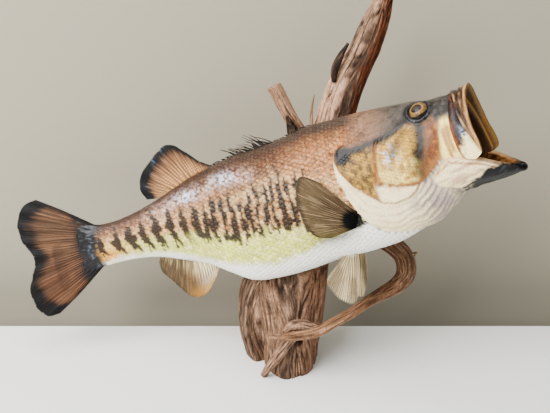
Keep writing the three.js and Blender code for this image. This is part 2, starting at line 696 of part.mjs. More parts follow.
function meshOf( name, solid ) {

	const { vertProperties, triVerts } = solid.getMesh();
	const geometry = new THREE.BufferGeometry();
	geometry.setAttribute( 'position', new THREE.BufferAttribute( new Float32Array( vertProperties ), 3 ) );
	geometry.setIndex( new THREE.BufferAttribute( new Uint32Array( triVerts ), 1 ) );
	geometry.computeVertexNormals();
	const mesh = new THREE.Mesh( geometry, finishOf( name ) );
	mesh.name = name;
	return mesh;

}

const { solids, whole } = fishSolids();
const mount = new THREE.Group();
const fish = new THREE.Group();
const driftwood = new THREE.Group();
for ( const [ name, solid ] of Object.entries( solids ) ) {

	fish.add( meshOf( name, moved( solid, bend ) ) );

}

for ( const [ name, solid ] of Object.entries( woodSolids( moved( whole, bend ) ) ) ) {

	driftwood.add( meshOf( name, solid ) );

}

mount.add( fish, driftwood );

export default mount;
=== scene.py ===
# A mounted largemouth bass on its driftwood stand: the finish of every surface. Metres, +Z up.
#
# The fish is worked out straight, in fish coordinates in millimetres: place runs from the base of
# the tail fin towards the snout, height is over the backbone line, and side is towards the fish's
# right. bend() lays it along its backbone, in the stand's own frame.

import math

import bpy
import numpy as np
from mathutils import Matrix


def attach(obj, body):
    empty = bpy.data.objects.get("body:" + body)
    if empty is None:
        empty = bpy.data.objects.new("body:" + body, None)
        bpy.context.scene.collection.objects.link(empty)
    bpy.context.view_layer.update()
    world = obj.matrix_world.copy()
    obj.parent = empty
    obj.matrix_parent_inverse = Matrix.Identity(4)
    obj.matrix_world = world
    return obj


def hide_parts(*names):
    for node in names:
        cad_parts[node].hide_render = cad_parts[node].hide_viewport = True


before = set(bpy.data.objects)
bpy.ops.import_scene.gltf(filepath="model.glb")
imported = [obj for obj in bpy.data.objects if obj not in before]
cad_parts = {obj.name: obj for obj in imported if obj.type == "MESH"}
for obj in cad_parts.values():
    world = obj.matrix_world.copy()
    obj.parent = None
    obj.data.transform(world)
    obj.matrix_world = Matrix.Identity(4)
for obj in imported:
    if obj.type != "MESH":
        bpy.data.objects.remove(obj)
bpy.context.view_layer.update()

MM = 0.001

# ---------------------------------------------------------------- the fish's own dimensions, mm

BACKBONE = np.array([(-221, 28, 134), (-20, 25, 182), (70, 0, 205), (174, -64, 278)], float)
ROLL = {"body": 16, "head": 5, "from": 230, "to": 430}  # degrees the back leans to the left

# Cross sections: place, top, bottom, height of the widest point, half width, and how square the
# upper and the lower half are.
BODY = np.array([
    (-22, 39, -37, 1, 1.3, 2, 2),
    (-14, 33.5, -31.5, 1, 2.4, 2, 2),
    (-4, 28, -26.5, 1, 5.0, 2, 2),
    (15, 24.6, -24.6, 0, 8.5, 2, 2),
    (40, 26.6, -24, 0, 11.5, 2.1, 2.1),
    (70, 34, -27.3, 2, 15.5, 2.1, 2.1),
    (100, 44.5, -36.5, 3, 21, 2.1, 2.1),
    (130, 55.5, -47.5, 3, 28, 2.1, 2.1),
    (155, 61.5, -62.5, 0, 33, 2.1, 2.2),
    (180, 66.5, -75.5, -3, 37.5, 2.1, 2.4),
    (210, 68.2, -77.8, -6, 41.5, 2.1, 2.5),
    (245, 71.5, -75.8, -6, 44, 2.1, 2.5),
    (280, 76, -71.5, -5, 44.5, 2.1, 2.5),
    (315, 74, -71, -6, 43, 2.1, 2.6),
    (345, 70.6, -69, -8, 40, 2.2, 2.6),
    (385, 63, -58, -10, 34, 2.3, 2.6),
])
HEAD = np.array([
    (300, 75.2, -71.5, -5, 45, 2.1, 2.6),
    (330, 72.6, -70, -6, 45.5, 2.2, 2.6),
    (360, 68.5, -65, -8, 43, 2.4, 2.6),
    (385, 63.4, -60.5, -8, 38.5, 2.5, 2.4),
    (402, 59.2, -52.2, -8, 35, 2.6, 2.4),
    (416, 54.2, -46, -8, 33.5, 2.6, 2.3),
    (430, 51.3, -42, -9, 33.5, 2.4, 2.3),
    (446, 49.2, -40, -10, 33, 2.1, 2.2),
    (460, 50.5, -40, -10, 31, 2, 2.2),
])
LOWER_JAW = np.array([
    (390, 8, -44, -8, 34, 2, 2.2),
    (425, 8, -40, -8, 34, 2.2, 2.2),
    (440, 0, -42, -14, 31.5, 2.2, 2.2),
    (452, -8, -43.5, -20, 27, 2.2, 2.2),
    (462, -14, -43.8, -27, 20, 2.2, 2.2),
    (469, -24, -43.5, -35, 12, 2.2, 2.2),
    (472, -32, -44.2, -40, 7, 2.2, 2.2),
    (476, -34, -44.6, -40, 5, 2.2, 2.2),
])
MOUTH_ROOF = np.array([
    (372, 6, -14, -4, 8, 2, 2),
    (395, 20, -30, -6, 20, 2, 2),
    (420, 34, -40, -8, 26.5, 2.2, 2),
    (440, 41, -42, -10, 27, 2, 2),
    (462, 45, -42, -10, 26, 1.9, 2),
])
MOUTH_FLOOR = np.array([
    (384, 4, -26, -6, 12, 2, 2),
    (400, 10, -33.5, -6, 23, 2, 2.4),
    (425, 20, -34, -6, 28, 2, 2.6),
    (440, 20, -36.5, -12, 26, 2, 2.6),
])
TONGUE = np.array([
    (396, -24, -40, -30, 7, 2, 2),
    (415, -25, -40, -31, 9.5, 2, 2),
    (432, -27, -42, -32, 8.5, 2, 2),
    (441, -31, -42, -34, 5, 2, 2),
    (444, -34, -41, -37, 1.5, 2, 2),
])

# Lines across the side of the head, as place and height.
GILL_OPENING = np.array([
    (332, 82), (329, 60), (325, 41), (313, 37.5), (309.4, 28), (309.8, 10), (317, -16),
    (326.6, -38), (340.4, -53), (359.5, -60.5), (384, -66)], float)
COVER_EDGE = np.array([  # the free edge of the gill cover's bones
    (334, 41), (324, 40.5), (315, 37), (312, 27), (315, 16), (326, -2), (341, -16.5), (350, -25),
    (362, -29), (376, -28), (385, -23.5), (391, -17)], float)
CHEEK_EDGE = np.array([(364, 34), (361, 30), (357, 16), (354, 2), (350, -6)], float)
LOBE_LINE = np.array([(350, -6), (360, -10), (371, -14), (383, -17.5), (391, -18)], float)
JAW_SIDE = np.array([
    (393, -20), (407, -13), (422, -5.5), (435, -10.5), (449, -17.5), (462, -29.5), (470, -37),
    (480, -41), (480, -50), (436, -50), (425, -39.5), (408, -30)], float)
JAW_RIM = np.array([(404, -14), (422, -5.5), (435, -10.5), (449, -17.5), (462, -29), (470, -35),
                    (475.5, -36.5)], float)
# The upper jaw's band: degrees down from the top, place of its middle, half width, and where the
# groove between its two bones runs, from -1 at the rear edge to 1 at the lip.
UPPER_JAW = np.array([
    (0, 450, 8.6, -0.8), (20, 449.5, 8.2, -0.65), (40, 447.3, 8.2, -0.3), (60, 445, 8.9, 0.05),
    (70, 444.2, 9.3, 0.25), (85, 444.4, 9.9, 0.55), (93, 444.6, 8.6, 0.85), (97.5, 445, 6.2, 1.1),
    (101, 445.4, 0.8, 1.3)])
EYE = {"place": 410.5, "height": 45.2, "side": 21, "radius": 9.8, "depth": 5.6, "tilt": 33}
NOSTRILS = ((446.5, 45.5, 1.7), (440.5, 47.5, 1.2))  # place, height, radius

COAT_DEPTH = 0.5  # the skin lies this far inside the solids, and the scales fill it

# ---------------------------------------------------------------- numbers and noise


def ease(low, high, value):
    """0 below low, 1 above high, and smooth between."""
    share = np.clip((value - low) / (high - low), 0, 1)
    return share * share * (3 - 2 * share)


def mix(first, second, share):
    """The first value at a share of 0, the second at 1, and between them in proportion."""
    return first + (second - first) * share


def groove(reach, width):
    """1 on a line or at a spot, and fading smoothly away from it."""
    return np.exp(-(reach / width) ** 2)


def circle(count):
    """Angles spaced evenly all the way round."""
    return np.arange(count) / count * 2 * math.pi


def run_of(line):
    """How far along a line of points each of them is."""
    return np.concatenate([[0], np.cumsum(np.linalg.norm(np.diff(line, axis=0), axis=1))])


def level(line, place):
    """The height of a line across the fish's side, at each place."""
    return np.interp(place, line[:, 0], line[:, 1])


def blot(points, place, height, length, rise):
    """A soft oval patch on the fish's side, 1 at its middle."""
    return groove(np.hypot((points[..., 0] - place) / length, (points[..., 1] - height) / rise), 1)


def lattice(cells, seed):
    """A repeatable number from 0 to 1 for each cell of a grid of whole numbers."""
    key = cells[..., 0] * 73856093 ^ cells[..., 1] * 19349663 ^ cells[..., 2] * 83492791
    key = (key + seed * 40503161) & 0x7FFFFFFF
    key = ((key ^ (key >> 13)) * 1274126177) & 0x7FFFFFFF
    return ((key ^ (key >> 16)) & 0xFFFF) / 65535


def noise(points, size, seed=0, octaves=1):
    """Smooth noise from -1 to 1 with features of about the given size."""
    total = 0
    weight = 0
    for octave in range(octaves):
        spot = points / size * 2 ** octave + 31.7 * octave
        cell = np.floor(spot).astype(np.int64)
        share = spot - cell
        share = share * share * (3 - 2 * share)
        value = 0
        for corner in np.ndindex(2, 2, 2):
            near = np.prod(np.where(np.array(corner), share, 1 - share), axis=-1)
            value = value + near * lattice(cell + np.array(corner), seed + octave)
        total = total + value * 0.5 ** octave
        weight += 0.5 ** octave
    return total / weight * 2 - 1


def along(table, column, place):
    """A smooth value between the rows of a table, whose first column is the place."""
    place = np.asarray(place, float)
    places = table[:, 0]
    values = table[:, column]
    rows = np.arange(len(places))
    before = np.maximum(rows - 1, 0)
    after = np.minimum(rows + 1, len(places) - 1)
    slopes = (values[after] - values[before]) / (places[after] - places[before])
    row = np.clip(np.searchsorted(places, place, side="right") - 1, 0, len(places) - 2)
    span = places[row + 1] - places[row]
    t = np.clip((place - places[row]) / span, 0, 1)
    start, end = values[row], values[row + 1]
    leave, arrive = slopes[row] * span, slopes[row + 1] * span
    return (start + t * leave + t * t * (3 * (end - start) - 2 * leave - arrive)
            + t ** 3 * (leave + arrive - 2 * (end - start)))


def distance(place, height, line):
    """How far each point is from an open line, in place and height."""
    nearest = np.full(np.shape(place), 1e9)
    for (x0, y0), (x1, y1) in zip(line[:-1], line[1:]):
        across = np.array([x1 - x0, y1 - y0])
        t = ((place - x0) * across[0] + (height - y0) * across[1]) / (across @ across)
        t = np.clip(t, 0, 1)
        reach = np.hypot(place - x0 - t * across[0], height - y0 - t * across[1])
        nearest = np.minimum(nearest, reach)
    return nearest


def within(place, height, outline):
    """True for each point inside a closed outline."""
    odd = np.zeros(np.shape(place), bool)
    for (x0, y0), (x1, y1) in zip(outline, np.roll(outline, -1, axis=0)):
        if y0 == y1:
            continue
        crosses = (height < y0) != (height < y1)
        odd ^= crosses & (place < x0 + (height - y0) / (y1 - y0) * (x1 - x0))
    return odd


def depth_in(place, height, outline):
    """Distance to a closed outline, positive inside it."""
    closed = np.vstack([outline, outline[:1]])
    reach = distance(place, height, closed)
    return np.where(within(place, height, outline), reach, -reach)


# ---------------------------------------------------------------- the backbone and the sections


def bezier(t):
    """Points of the backbone, from the tail fin's base at 0 to the snout at 1."""
    t = t[..., None]
    a, b, c, d = BACKBONE
    return (1 - t) ** 3 * a + 3 * (1 - t) ** 2 * t * b + 3 * (1 - t) * t * t * c + t ** 3 * d


BACKBONE_STEPS = np.linspace(0, 1, 4001)
BACKBONE_RUN = run_of(bezier(BACKBONE_STEPS))
BACKBONE_LENGTH = BACKBONE_RUN[-1]


def bend(points):
    """Fish coordinates in millimetres to the stand's frame in metres."""
    place, height, side = points[..., 0], points[..., 1], points[..., 2]
    u = np.clip(place / BACKBONE_LENGTH, 0, 1)
    t = np.interp(u * BACKBONE_LENGTH, BACKBONE_RUN, BACKBONE_STEPS)
    forward = bezier(np.clip(t + 1e-4, 0, 1)) - bezier(np.clip(t - 1e-4, 0, 1))
    forward /= np.linalg.norm(forward, axis=-1, keepdims=True)
    right = np.cross(forward, [0.0, 0.0, 1.0])
    right /= np.linalg.norm(right, axis=-1, keepdims=True)
    up = np.cross(right, forward)
    turn = np.radians(mix(ROLL["body"], ROLL["head"], ease(ROLL["from"], ROLL["to"], place)))
    rise = height * np.cos(turn) + side * np.sin(turn)
    out = side * np.cos(turn) - height * np.sin(turn)
    ahead = place - u * BACKBONE_LENGTH
    bent = bezier(t) + forward * ahead[..., None] + up * rise[..., None] + right * out[..., None]
    return bent * MM


def section(table, place, angle, grow=0):
    """Height and side of a cross section's surface, at an angle down from its top."""
    top, bottom, middle, half, upper, lower = [along(table, column, place) for column in range(1, 7)]
    rise = np.cos(angle)
    across = np.sin(angle)
    power = 2 / np.where(rise > 0, upper, lower)
    reach = np.where(rise > 0, top - middle, middle - bottom) + grow
    height = middle + np.sign(rise) * reach * np.abs(rise) ** power
    side = np.sign(across) * (half + grow) * np.abs(across) ** power
    return height, side


def gill_places(angles):
    """Where the gill opening crosses each line that runs along the head at one angle."""
    places = np.linspace(300, 400, 801)
    order = np.argsort(GILL_OPENING[:, 1])
    found = []
    for angle in angles:
        height, _ = section(HEAD, places, np.full_like(places, angle))
        edge = np.interp(height, GILL_OPENING[order, 1], GILL_OPENING[order, 0])
        found.append(places[np.argmax(places >= edge)])
    return np.array(found)


GILL_ANGLES = np.linspace(0, math.pi, 361)
GILL_SMOOTHING = 7  # samples that each place is averaged over
GILL_PLACES = np.convolve(np.pad(gill_places(GILL_ANGLES), GILL_SMOOTHING // 2, mode="edge"),
                          np.ones(GILL_SMOOTHING) / GILL_SMOOTHING, mode="valid")


def from_top(angle):
    """The angle down from the top of a section, on whichever side it is."""
    return np.abs((angle + math.pi) % (2 * math.pi) - math.pi)


def gill_place(angle):
    """Where the gill opening is, at an angle down from the top."""
    return np.interp(from_top(angle), GILL_ANGLES, GILL_PLACES)


def past_opening(place, height):
    """How far in front of the gill opening each point is."""
    return place - np.interp(-height, -GILL_OPENING[:, 1], GILL_OPENING[:, 0])


def flank(place, angle):
    """The bare form of the trunk and head: height and side."""
    trunk = section(BODY, place, angle, -COAT_DEPTH)
    head = section(HEAD, place, angle, -COAT_DEPTH)
    height = head[0]
    slit = (1 - ease(42, 60, height)) * (1 - ease(60, 68, -height))
    reach = mix(16, 0.5, slit)
    share = ease(-1, 1, (place - gill_place(angle)) / reach)
    return mix(trunk[0], head[0], share), mix(trunk[1], head[1], share)


def form_and_normal(place, angle, form=flank):
    """Points of a form and the directions that stand out from it."""
    step_place, step_angle = 0.4, 0.01

    def point(p, a):
        height, side = form(p, a)
        return np.stack([p, height, side], -1)

    lengthwise = point(place + step_place, angle) - point(place - step_place, angle)
    around = point(place, angle + step_angle) - point(place, angle - step_angle)
    normal = np.cross(around, lengthwise)
    normal /= np.linalg.norm(normal, axis=-1, keepdims=True) + 1e-12
    return point(place, angle), normal


# ---------------------------------------------------------------- relief of the skin


def eye_axis(hand):
    """The way that an eye looks, in fish coordinates."""
    tilt = math.radians(EYE["tilt"])
    return np.array([0, math.sin(tilt), hand * math.cos(tilt)])


def eye_reach(points):
    """Distance of each point from the line that the nearer eye looks along, and which way."""
    hand = np.where(points[..., 2] < 0, -1, 1)
    centre = np.stack([np.full(hand.shape, EYE["place"]), np.full(hand.shape, EYE["height"]),
                       EYE["side"] * hand], -1)
    axis = np.where(hand[..., None] > 0, eye_axis(1), eye_axis(-1))
    away = points - centre
    depth = np.sum(away * axis, axis=-1)
    flat = away - depth[..., None] * axis
    return np.linalg.norm(flat, axis=-1), flat


COVER_OUTLINE = np.vstack([COVER_EDGE, [(392, -19), (420, -4), (480, 0), (480, 90), (334, 90)]])


def inside_cover(place, height):
    """Distance in from the free edge of the gill cover, and negative on the membrane below it."""
    edge = distance(place, height, COVER_EDGE)
    return np.where(within(place, height, COVER_OUTLINE), edge, -edge)


def folds(points):
    """The long folds of the gill membrane and the throat: their crests, and the creases between."""
    place, height = points[..., 0], points[..., 1]
    reach = distance(place, height, COVER_EDGE)
    drift = 5.0 * noise(points, 24, seed=5) + 1.5 * noise(points, 9, seed=6)
    phase = (reach + drift) / mix(7.5, 4.4, ease(340, 372, place))
    saw = phase - np.floor(phase)
    crest = ease(0, 0.7, saw) * (1 - ease(0.8, 1, saw))
    crease = groove(np.minimum(saw, 1 - saw), 0.13)
    fade = 0.4 + 1.0 * noise(points * np.array([0.6, 1, 1]), 13, seed=7)
    front = 1 - 0.8 * ease(396, 416, place)
    return mix(0.5, crest, front), crease * np.clip(fade, 0.1, 1) * front


def relief(points):
    """How far the skin stands out from the bare form, in millimetres."""
    place, height = points[..., 0], points[..., 1]
    past = past_opening(place, height)
    on_head = ease(-0.5, 0.5, past)
    below_neck = 1 - ease(38, 46, height)
    # the bony plates of the cheek and the gill cover, and the seams between them
    cover = inside_cover(place, height)
    plate = 1.8 * ease(-0.3, 0.8, cover) * (1 - 0.75 * ease(3, 34, cover))
    rise = plate * on_head * below_neck
    rise = rise - 1.0 * groove(distance(place, height, CHEEK_EDGE), 1.2)
    rise = rise + 0.8 * groove(distance(place, height, CHEEK_EDGE + np.array([3.6, 0])), 2.2)
    rise = rise - 0.8 * groove(distance(place, height, LOBE_LINE), 1.0)
    rise = rise + 1.2 * groove(np.hypot(place - 378, (height - 12) * 0.9), 17)
    # the muscle at the foot of the pectoral fin
    outer_side = ease(20, 30, np.abs(points[..., 2]))
    rise = rise + 1.3 * groove(np.hypot(place - 314, height + 34), 8) * outer_side
    # the white gill membrane and the throat, in long folds
    crest, crease = folds(points)
    throat = ease(0.6, 2.0, -cover) * on_head * ease(300, 312, place) * (1 - ease(22, 32, height))
    strength = mix(0.5, 1.35, ease(352, 392, place))
    rise = rise + throat * strength * (crest - 0.5 - 0.5 * crease)
    rise = rise + throat * 0.35 * noise(points * np.array([1, 2, 1]), 5, seed=8)
    # the slit behind the gill cover
    slit = below_neck * (1 - ease(56, 64, -height))
    rise = rise - 1.3 * slit * groove(past + 1.1, 0.9)
    # the eye's socket and its crinkled rim
    reach, _ = eye_reach(points)
    rise = rise - 3.8 * (1 - ease(7.4, 9.7, reach))
    crinkle = 1 + 0.55 * noise(points, 2.2, seed=3)
    rise = rise + 1.2 * crinkle * groove(reach - 11.2, 1.4)
    rise = rise - 0.6 * groove(reach - 14.2, 1.5)
    # the snout: grooves between its bones, and the nostrils
    snout = ease(418, 432, place) * ease(18, 34, height)
    rise = rise + 0.6 * snout * noise(points * np.array([0.35, 1, 1]), 3.4, seed=11)
    for nostril_place, nostril_height, radius in NOSTRILS:
        hole = np.hypot(place - nostril_place, height - nostril_height)
        rise = rise - 1.6 * groove(hole, radius) + 0.6 * groove(hole - radius * 1.7, radius * 0.5)
    # the pad of the lachrymal bone, which stops at the upper jaw
    pad = ease(414, 424, place) * (1 - ease(431, 435, place))
    pad = pad * ease(-8, 2, height) * (1 - ease(28, 36, height))
    rise = rise + 0.9 * pad
    rise = rise + 0.4 * pad * noise(points * np.array([1, 0.3, 1]), 3, seed=12)
    # rough skin at the gill-cover spot and at the root of the tail fin
    rough = blot(points, 323, 30, 11, 11) + (1 - ease(6, 14, place))
    rise = rise + 0.9 * rough * noise(points, 4.0, seed=9, octaves=2)
    return rise + 0.12 * noise(points, 2.6, seed=2, octaves=2)


# ---------------------------------------------------------------- the paint


def linear(hex_colour):
    """An sRGB hex colour as linear light."""
    parts = np.array([int(hex_colour[i:i + 2], 16) for i in (0, 2, 4)]) / 255
    return np.where(parts <= 0.04045, parts / 12.92, ((parts + 0.055) / 1.055) ** 2.4)


BELLY = linear("f4f3ec")
CHEEK_GOLD = linear("bd8f38")
COVER_GOLD = linear("94702e")
MEMBRANE = linear("f4e2b2")
JAW_BLACK = linear("040405")
# the colour of painted highlights: pale-blue glints on the flank and the cheek
HIGHLIGHT_BLUE = linear("d4e0f4")
OCHRE = linear("6e4619")

# Lines and outlines of the markings, as place and height.
BAND_TOP = np.array([(0, 5), (16, 6), (43, 10), (76, 14), (117, 18), (155, 18), (194, 21), (234, 31),
                     (270, 26), (300, 16)], float)
BAND_LOW = np.array([(0, -9), (13, -10), (38, -12), (71, -12), (109, -15), (147, -20), (182, -31),
                     (219, -32), (252, -38), (300, -38)], float)
BLOTCHES = np.array([-10, 8, 28, 47, 64, 82, 101, 117, 133, 145, 157, 168, 179, 190, 200, 210, 221, 231,
                     242, 252, 263, 273, 284, 295], float)  # their places along the side
# the painted sheen runs along this line
SHEEN_LINE = np.array([(76, 20), (100, 26), (133, 33), (160, 39), (180, 42), (204, 38)], float)
WHITE_TOP = np.array([(-6, -21), (36, -17), (67, -19), (103, -27), (132, -38), (173, -53), (219, -59),
                      (257, -54), (296, -43), (330, -36)], float)
EYE_BAND = np.array([(402, 41), (396, 41), (384, 37), (368, 34), (348, 33), (332, 33)], float)
SHORT_BAR = np.array([(397, 36), (384, 26), (373, 14)], float)
UNDER_EYE_BAR = np.array([(409, 36), (405, 20), (399, 5), (394, -9)], float)
ORANGE_PATCH = np.array([(415, 33), (427, 28), (425, 12), (417, 1), (404, -8), (401, -6), (408, 8),
                         (413, 22)], float)
LACHRYMAL = np.array([(429, 33), (441, 32), (438, 10), (437, -12), (422, -9), (416, -4), (422, 10)], float)
CHEEK = np.array([(362, 30), (372, 33), (396, 37), (408, 32), (402, 14), (396, -6), (390, -16),
                  (372, -13), (353, -4), (357, 16)], float)
COVER = np.array([(326, 31), (345, 32), (360, 28), (356, 14), (352, -2), (346, -18), (326, -1),
                  (316, 16), (317, 26)], float)


LANE_GAP = 37.0  # keeps the chance shape of each stroke apart from its neighbours'


def dashes(points):
    """How dark the broken band along the side is, from 0 to 1."""
    place, height = points[..., 0], points[..., 1]
    flat = np.stack([place, height, np.where(points[..., 2] < 0, 400.0, 0.0)], -1)
    low = level(BAND_LOW, place)
    top = level(BAND_TOP, place)
    speckle = noise(flat, 1.8, seed=26)
    forward = ease(120, 150, place)
    warped = place + mix(0.12, 0.02, forward) * height
    warped = warped + mix(2.2, 3.8, forward) * noise(flat, 14, seed=21)
    warped = warped + mix(1.0, 1.6, forward) * noise(flat, 5, seed=22)
    cell = np.interp(warped, BLOTCHES, np.arange(len(BLOTCHES)))
    number = np.round(cell)
    across = (cell - number) * 2
    # on the trunk: strokes that stand upright, fork below and run down into the yellow
    lane = np.stack([number * LANE_GAP, np.zeros_like(place), flat[..., 2]], -1)
    deeper = 7 * ease(126, 142, place) * (1 - ease(205, 245, place))
    low_end = low - 1 - deeper + 6 * noise(lane, 5, seed=24)
    high_end = top + 3 + 9 * noise(lane, 5, seed=25)
    share = (height - low_end) / (high_end - low_end)
    fork = (0.42 + 0.25 * noise(lane, 5, seed=27)) * ease(0.0, 0.55, 0.6 - share)
    beaded = noise(np.stack([number * LANE_GAP, height, flat[..., 2]], -1), 9, seed=23)
    width = mix(0.58, 0.32, ease(0.0, 0.3, fork)) + 0.3 * beaded
    ragged = 0.3 * noise(flat, 5.5, seed=28, octaves=2) + 0.14 * speckle
    strength = width + ragged - np.abs(np.abs(across) - fork)
    strength = strength - 0.8 * (1 - ease(-0.06, 0.26, share)) - 0.8 * ease(0.74, 1.06, share)
    strokes = ease(-0.1, 0.05, strength)
    # on the tail: a chain of diamonds, each with a tail that runs down and forward
    share = (height - low) / (top - low)
    ragged = 0.2 * speckle + 0.2 * noise(flat, 5, seed=29)
    reach = np.abs(across) * 0.95 + np.abs(share - 0.6) * 0.85 + ragged
    diamond = 1 - ease(0.62, 0.8, reach)
    drip = groove(across - 0.6 + 1.0 * share + 0.5 * ragged, 0.26)
    drip = drip * ease(-0.3, -0.1, share) * (1 - ease(0.35, 0.55, share))
    chain = np.clip(diamond + 1.3 * drip, 0, 1)
    dark = mix(strokes, chain, 1 - ease(112, 136, place))
    return np.clip(dark, 0, 1) * ease(0, 6, place) * (1 - ease(284, 298, place))


def primed(colour, points):
    """The same first colour all over."""
    return np.broadcast_to(linear(colour), points.shape).copy()


def variety(colour):
    """How much grain a colour carries: full on dark paint, and little on white."""
    return 1 - 0.85 * ease(0.3, 0.75, colour.min(axis=-1))


def coats(colour, *layers):
    """Coats of paint over a colour, each a new colour and the share of it at each point."""
    for new, share in layers:
        if isinstance(new, str):
            new = linear(new)
        colour = mix(colour, new, np.clip(share, 0, 1)[..., None])
    return colour


def painted(points, angle):
    """The colour of the skin and of its scales, from the back down to the belly, and then the head."""
    place, height, side = points[..., 0], points[..., 1], points[..., 2]
    soft = noise(points, 9, seed=31, octaves=2)
    grain = noise(points, 2.1, seed=32)
    down = from_top(angle)
    above = height - level(BAND_TOP, place)
    # the back, darkest along its ridge, peppered and dusted, with a faint painted sheen under it
    ridge = ease(0.6, 1.35, down + 0.1 * soft + 0.08 * grain)
    shaded = (1 - ease(215, 285, place)) * (1 - ease(0.8, 1.7, down + 0.1 * soft))
    peppered = ease(0.05, 0.5, noise(points, 1.5, seed=34) + 0.35 * soft)
    dusted = ease(0.05, 0.5, noise(points, 1.7, seed=35) - 0.2 * soft)
    painted_sheen = groove(distance(place, height, SHEEN_LINE), 8) * ease(-0.35, 0.35, grain)
    colour = coats(
        primed("8f5a32", points),
        ("a8743f", 0.9 * (1 - ease(-6, 24, above - 6 * soft))),
        ("8a5a34", 0.7 * (1 - ease(50, 130, place + 20 * soft)) * ease(-4, 14, above)),
        ("4c2819", 0.95 * (1 - ridge)),
        ("3b2f26", 1 - ease(0.35, 0.95, down + 0.07 * soft + 0.06 * grain)),
        ("3a2016", 0.35 * shaded),
        ("b8743f", 0.5 * ease(225, 300, place) * ease(0.5, 0.9, down + 0.1 * soft)),
        ("2d180f", mix(0.8, 0.55, 1 - ridge) * peppered),
        ("d8a670", 0.4 * dusted * ease(0.45, 1.1, down)),
        ("e4c6b8", 0.5 * painted_sheen))
    # two painted pale-blue highlights high on the flank
    for bright_place, bright_height in ((126, 33), (174, 42)):
        bright = blot(points, bright_place, bright_height, 13, 6)
        colour = coats(colour, (HIGHLIGHT_BLUE, 0.9 * bright * ease(-0.3, 0.2, grain)))
    # the flank: yellow-green under the band, gold at the tail, and the white belly
    yellow = ease(-5, 6, level(BAND_LOW, place) + 11 - height + 3 * soft + 2 * grain)
    pale_flecks = ease(0.1, 0.6, noise(points, 1.9, seed=37))[..., None]
    lemon = mix(linear("c6c95a"), linear("e4dd9a"), pale_flecks)
    white = ease(-4, 6, level(WHITE_TOP, place) - height + 2.5 * soft + grain)
    # the broken dark band, with straw between its strokes
    dark = dashes(points)
    band = ease(-2, 6, height - level(BAND_LOW, place)) * (1 - ease(-6, 6, above))
    # the black root of the tail with a painted bluish highlight across it, and the skin round the foot of
    # the pectoral fin
    tail_root = 1 - ease(-2, 11, place + 2.5 * grain + 2 * soft - 0.2 * np.abs(height + 4))
    sheen_and_mottle = groove(place + 6 - 0.006 * height ** 2 + 5 * soft, 3.0) * ease(-0.1, 0.4, grain + soft)
    fin_root = groove(np.hypot((place - 317) / 13, (height + 34) / 10.5) + 0.12 * grain, 0.85)
    outer_side = ease(20, 30, np.abs(side))
    colour = coats(
        colour,
        (lemon, 0.95 * yellow * ease(-6, 30, place)),
        ("d59a3c", yellow * (1 - ease(16, 62, place))),
        (BELLY, white),
        ("dfc08c", 0.5 * band * (1 - dark) * ease(-0.5, 0.3, grain)),
        ("24180f", 0.98 * dark),
        ("111013", tail_root),
        ("66717e", 0.4 * sheen_and_mottle),
        (JAW_BLACK, ease(0.3, 0.5, fin_root) * outer_side),
        ("544a1e", 0.6 * (blot(points, 285, -45, 26, 9) * outer_side)))
    return painted_head(points, colour, soft, grain)


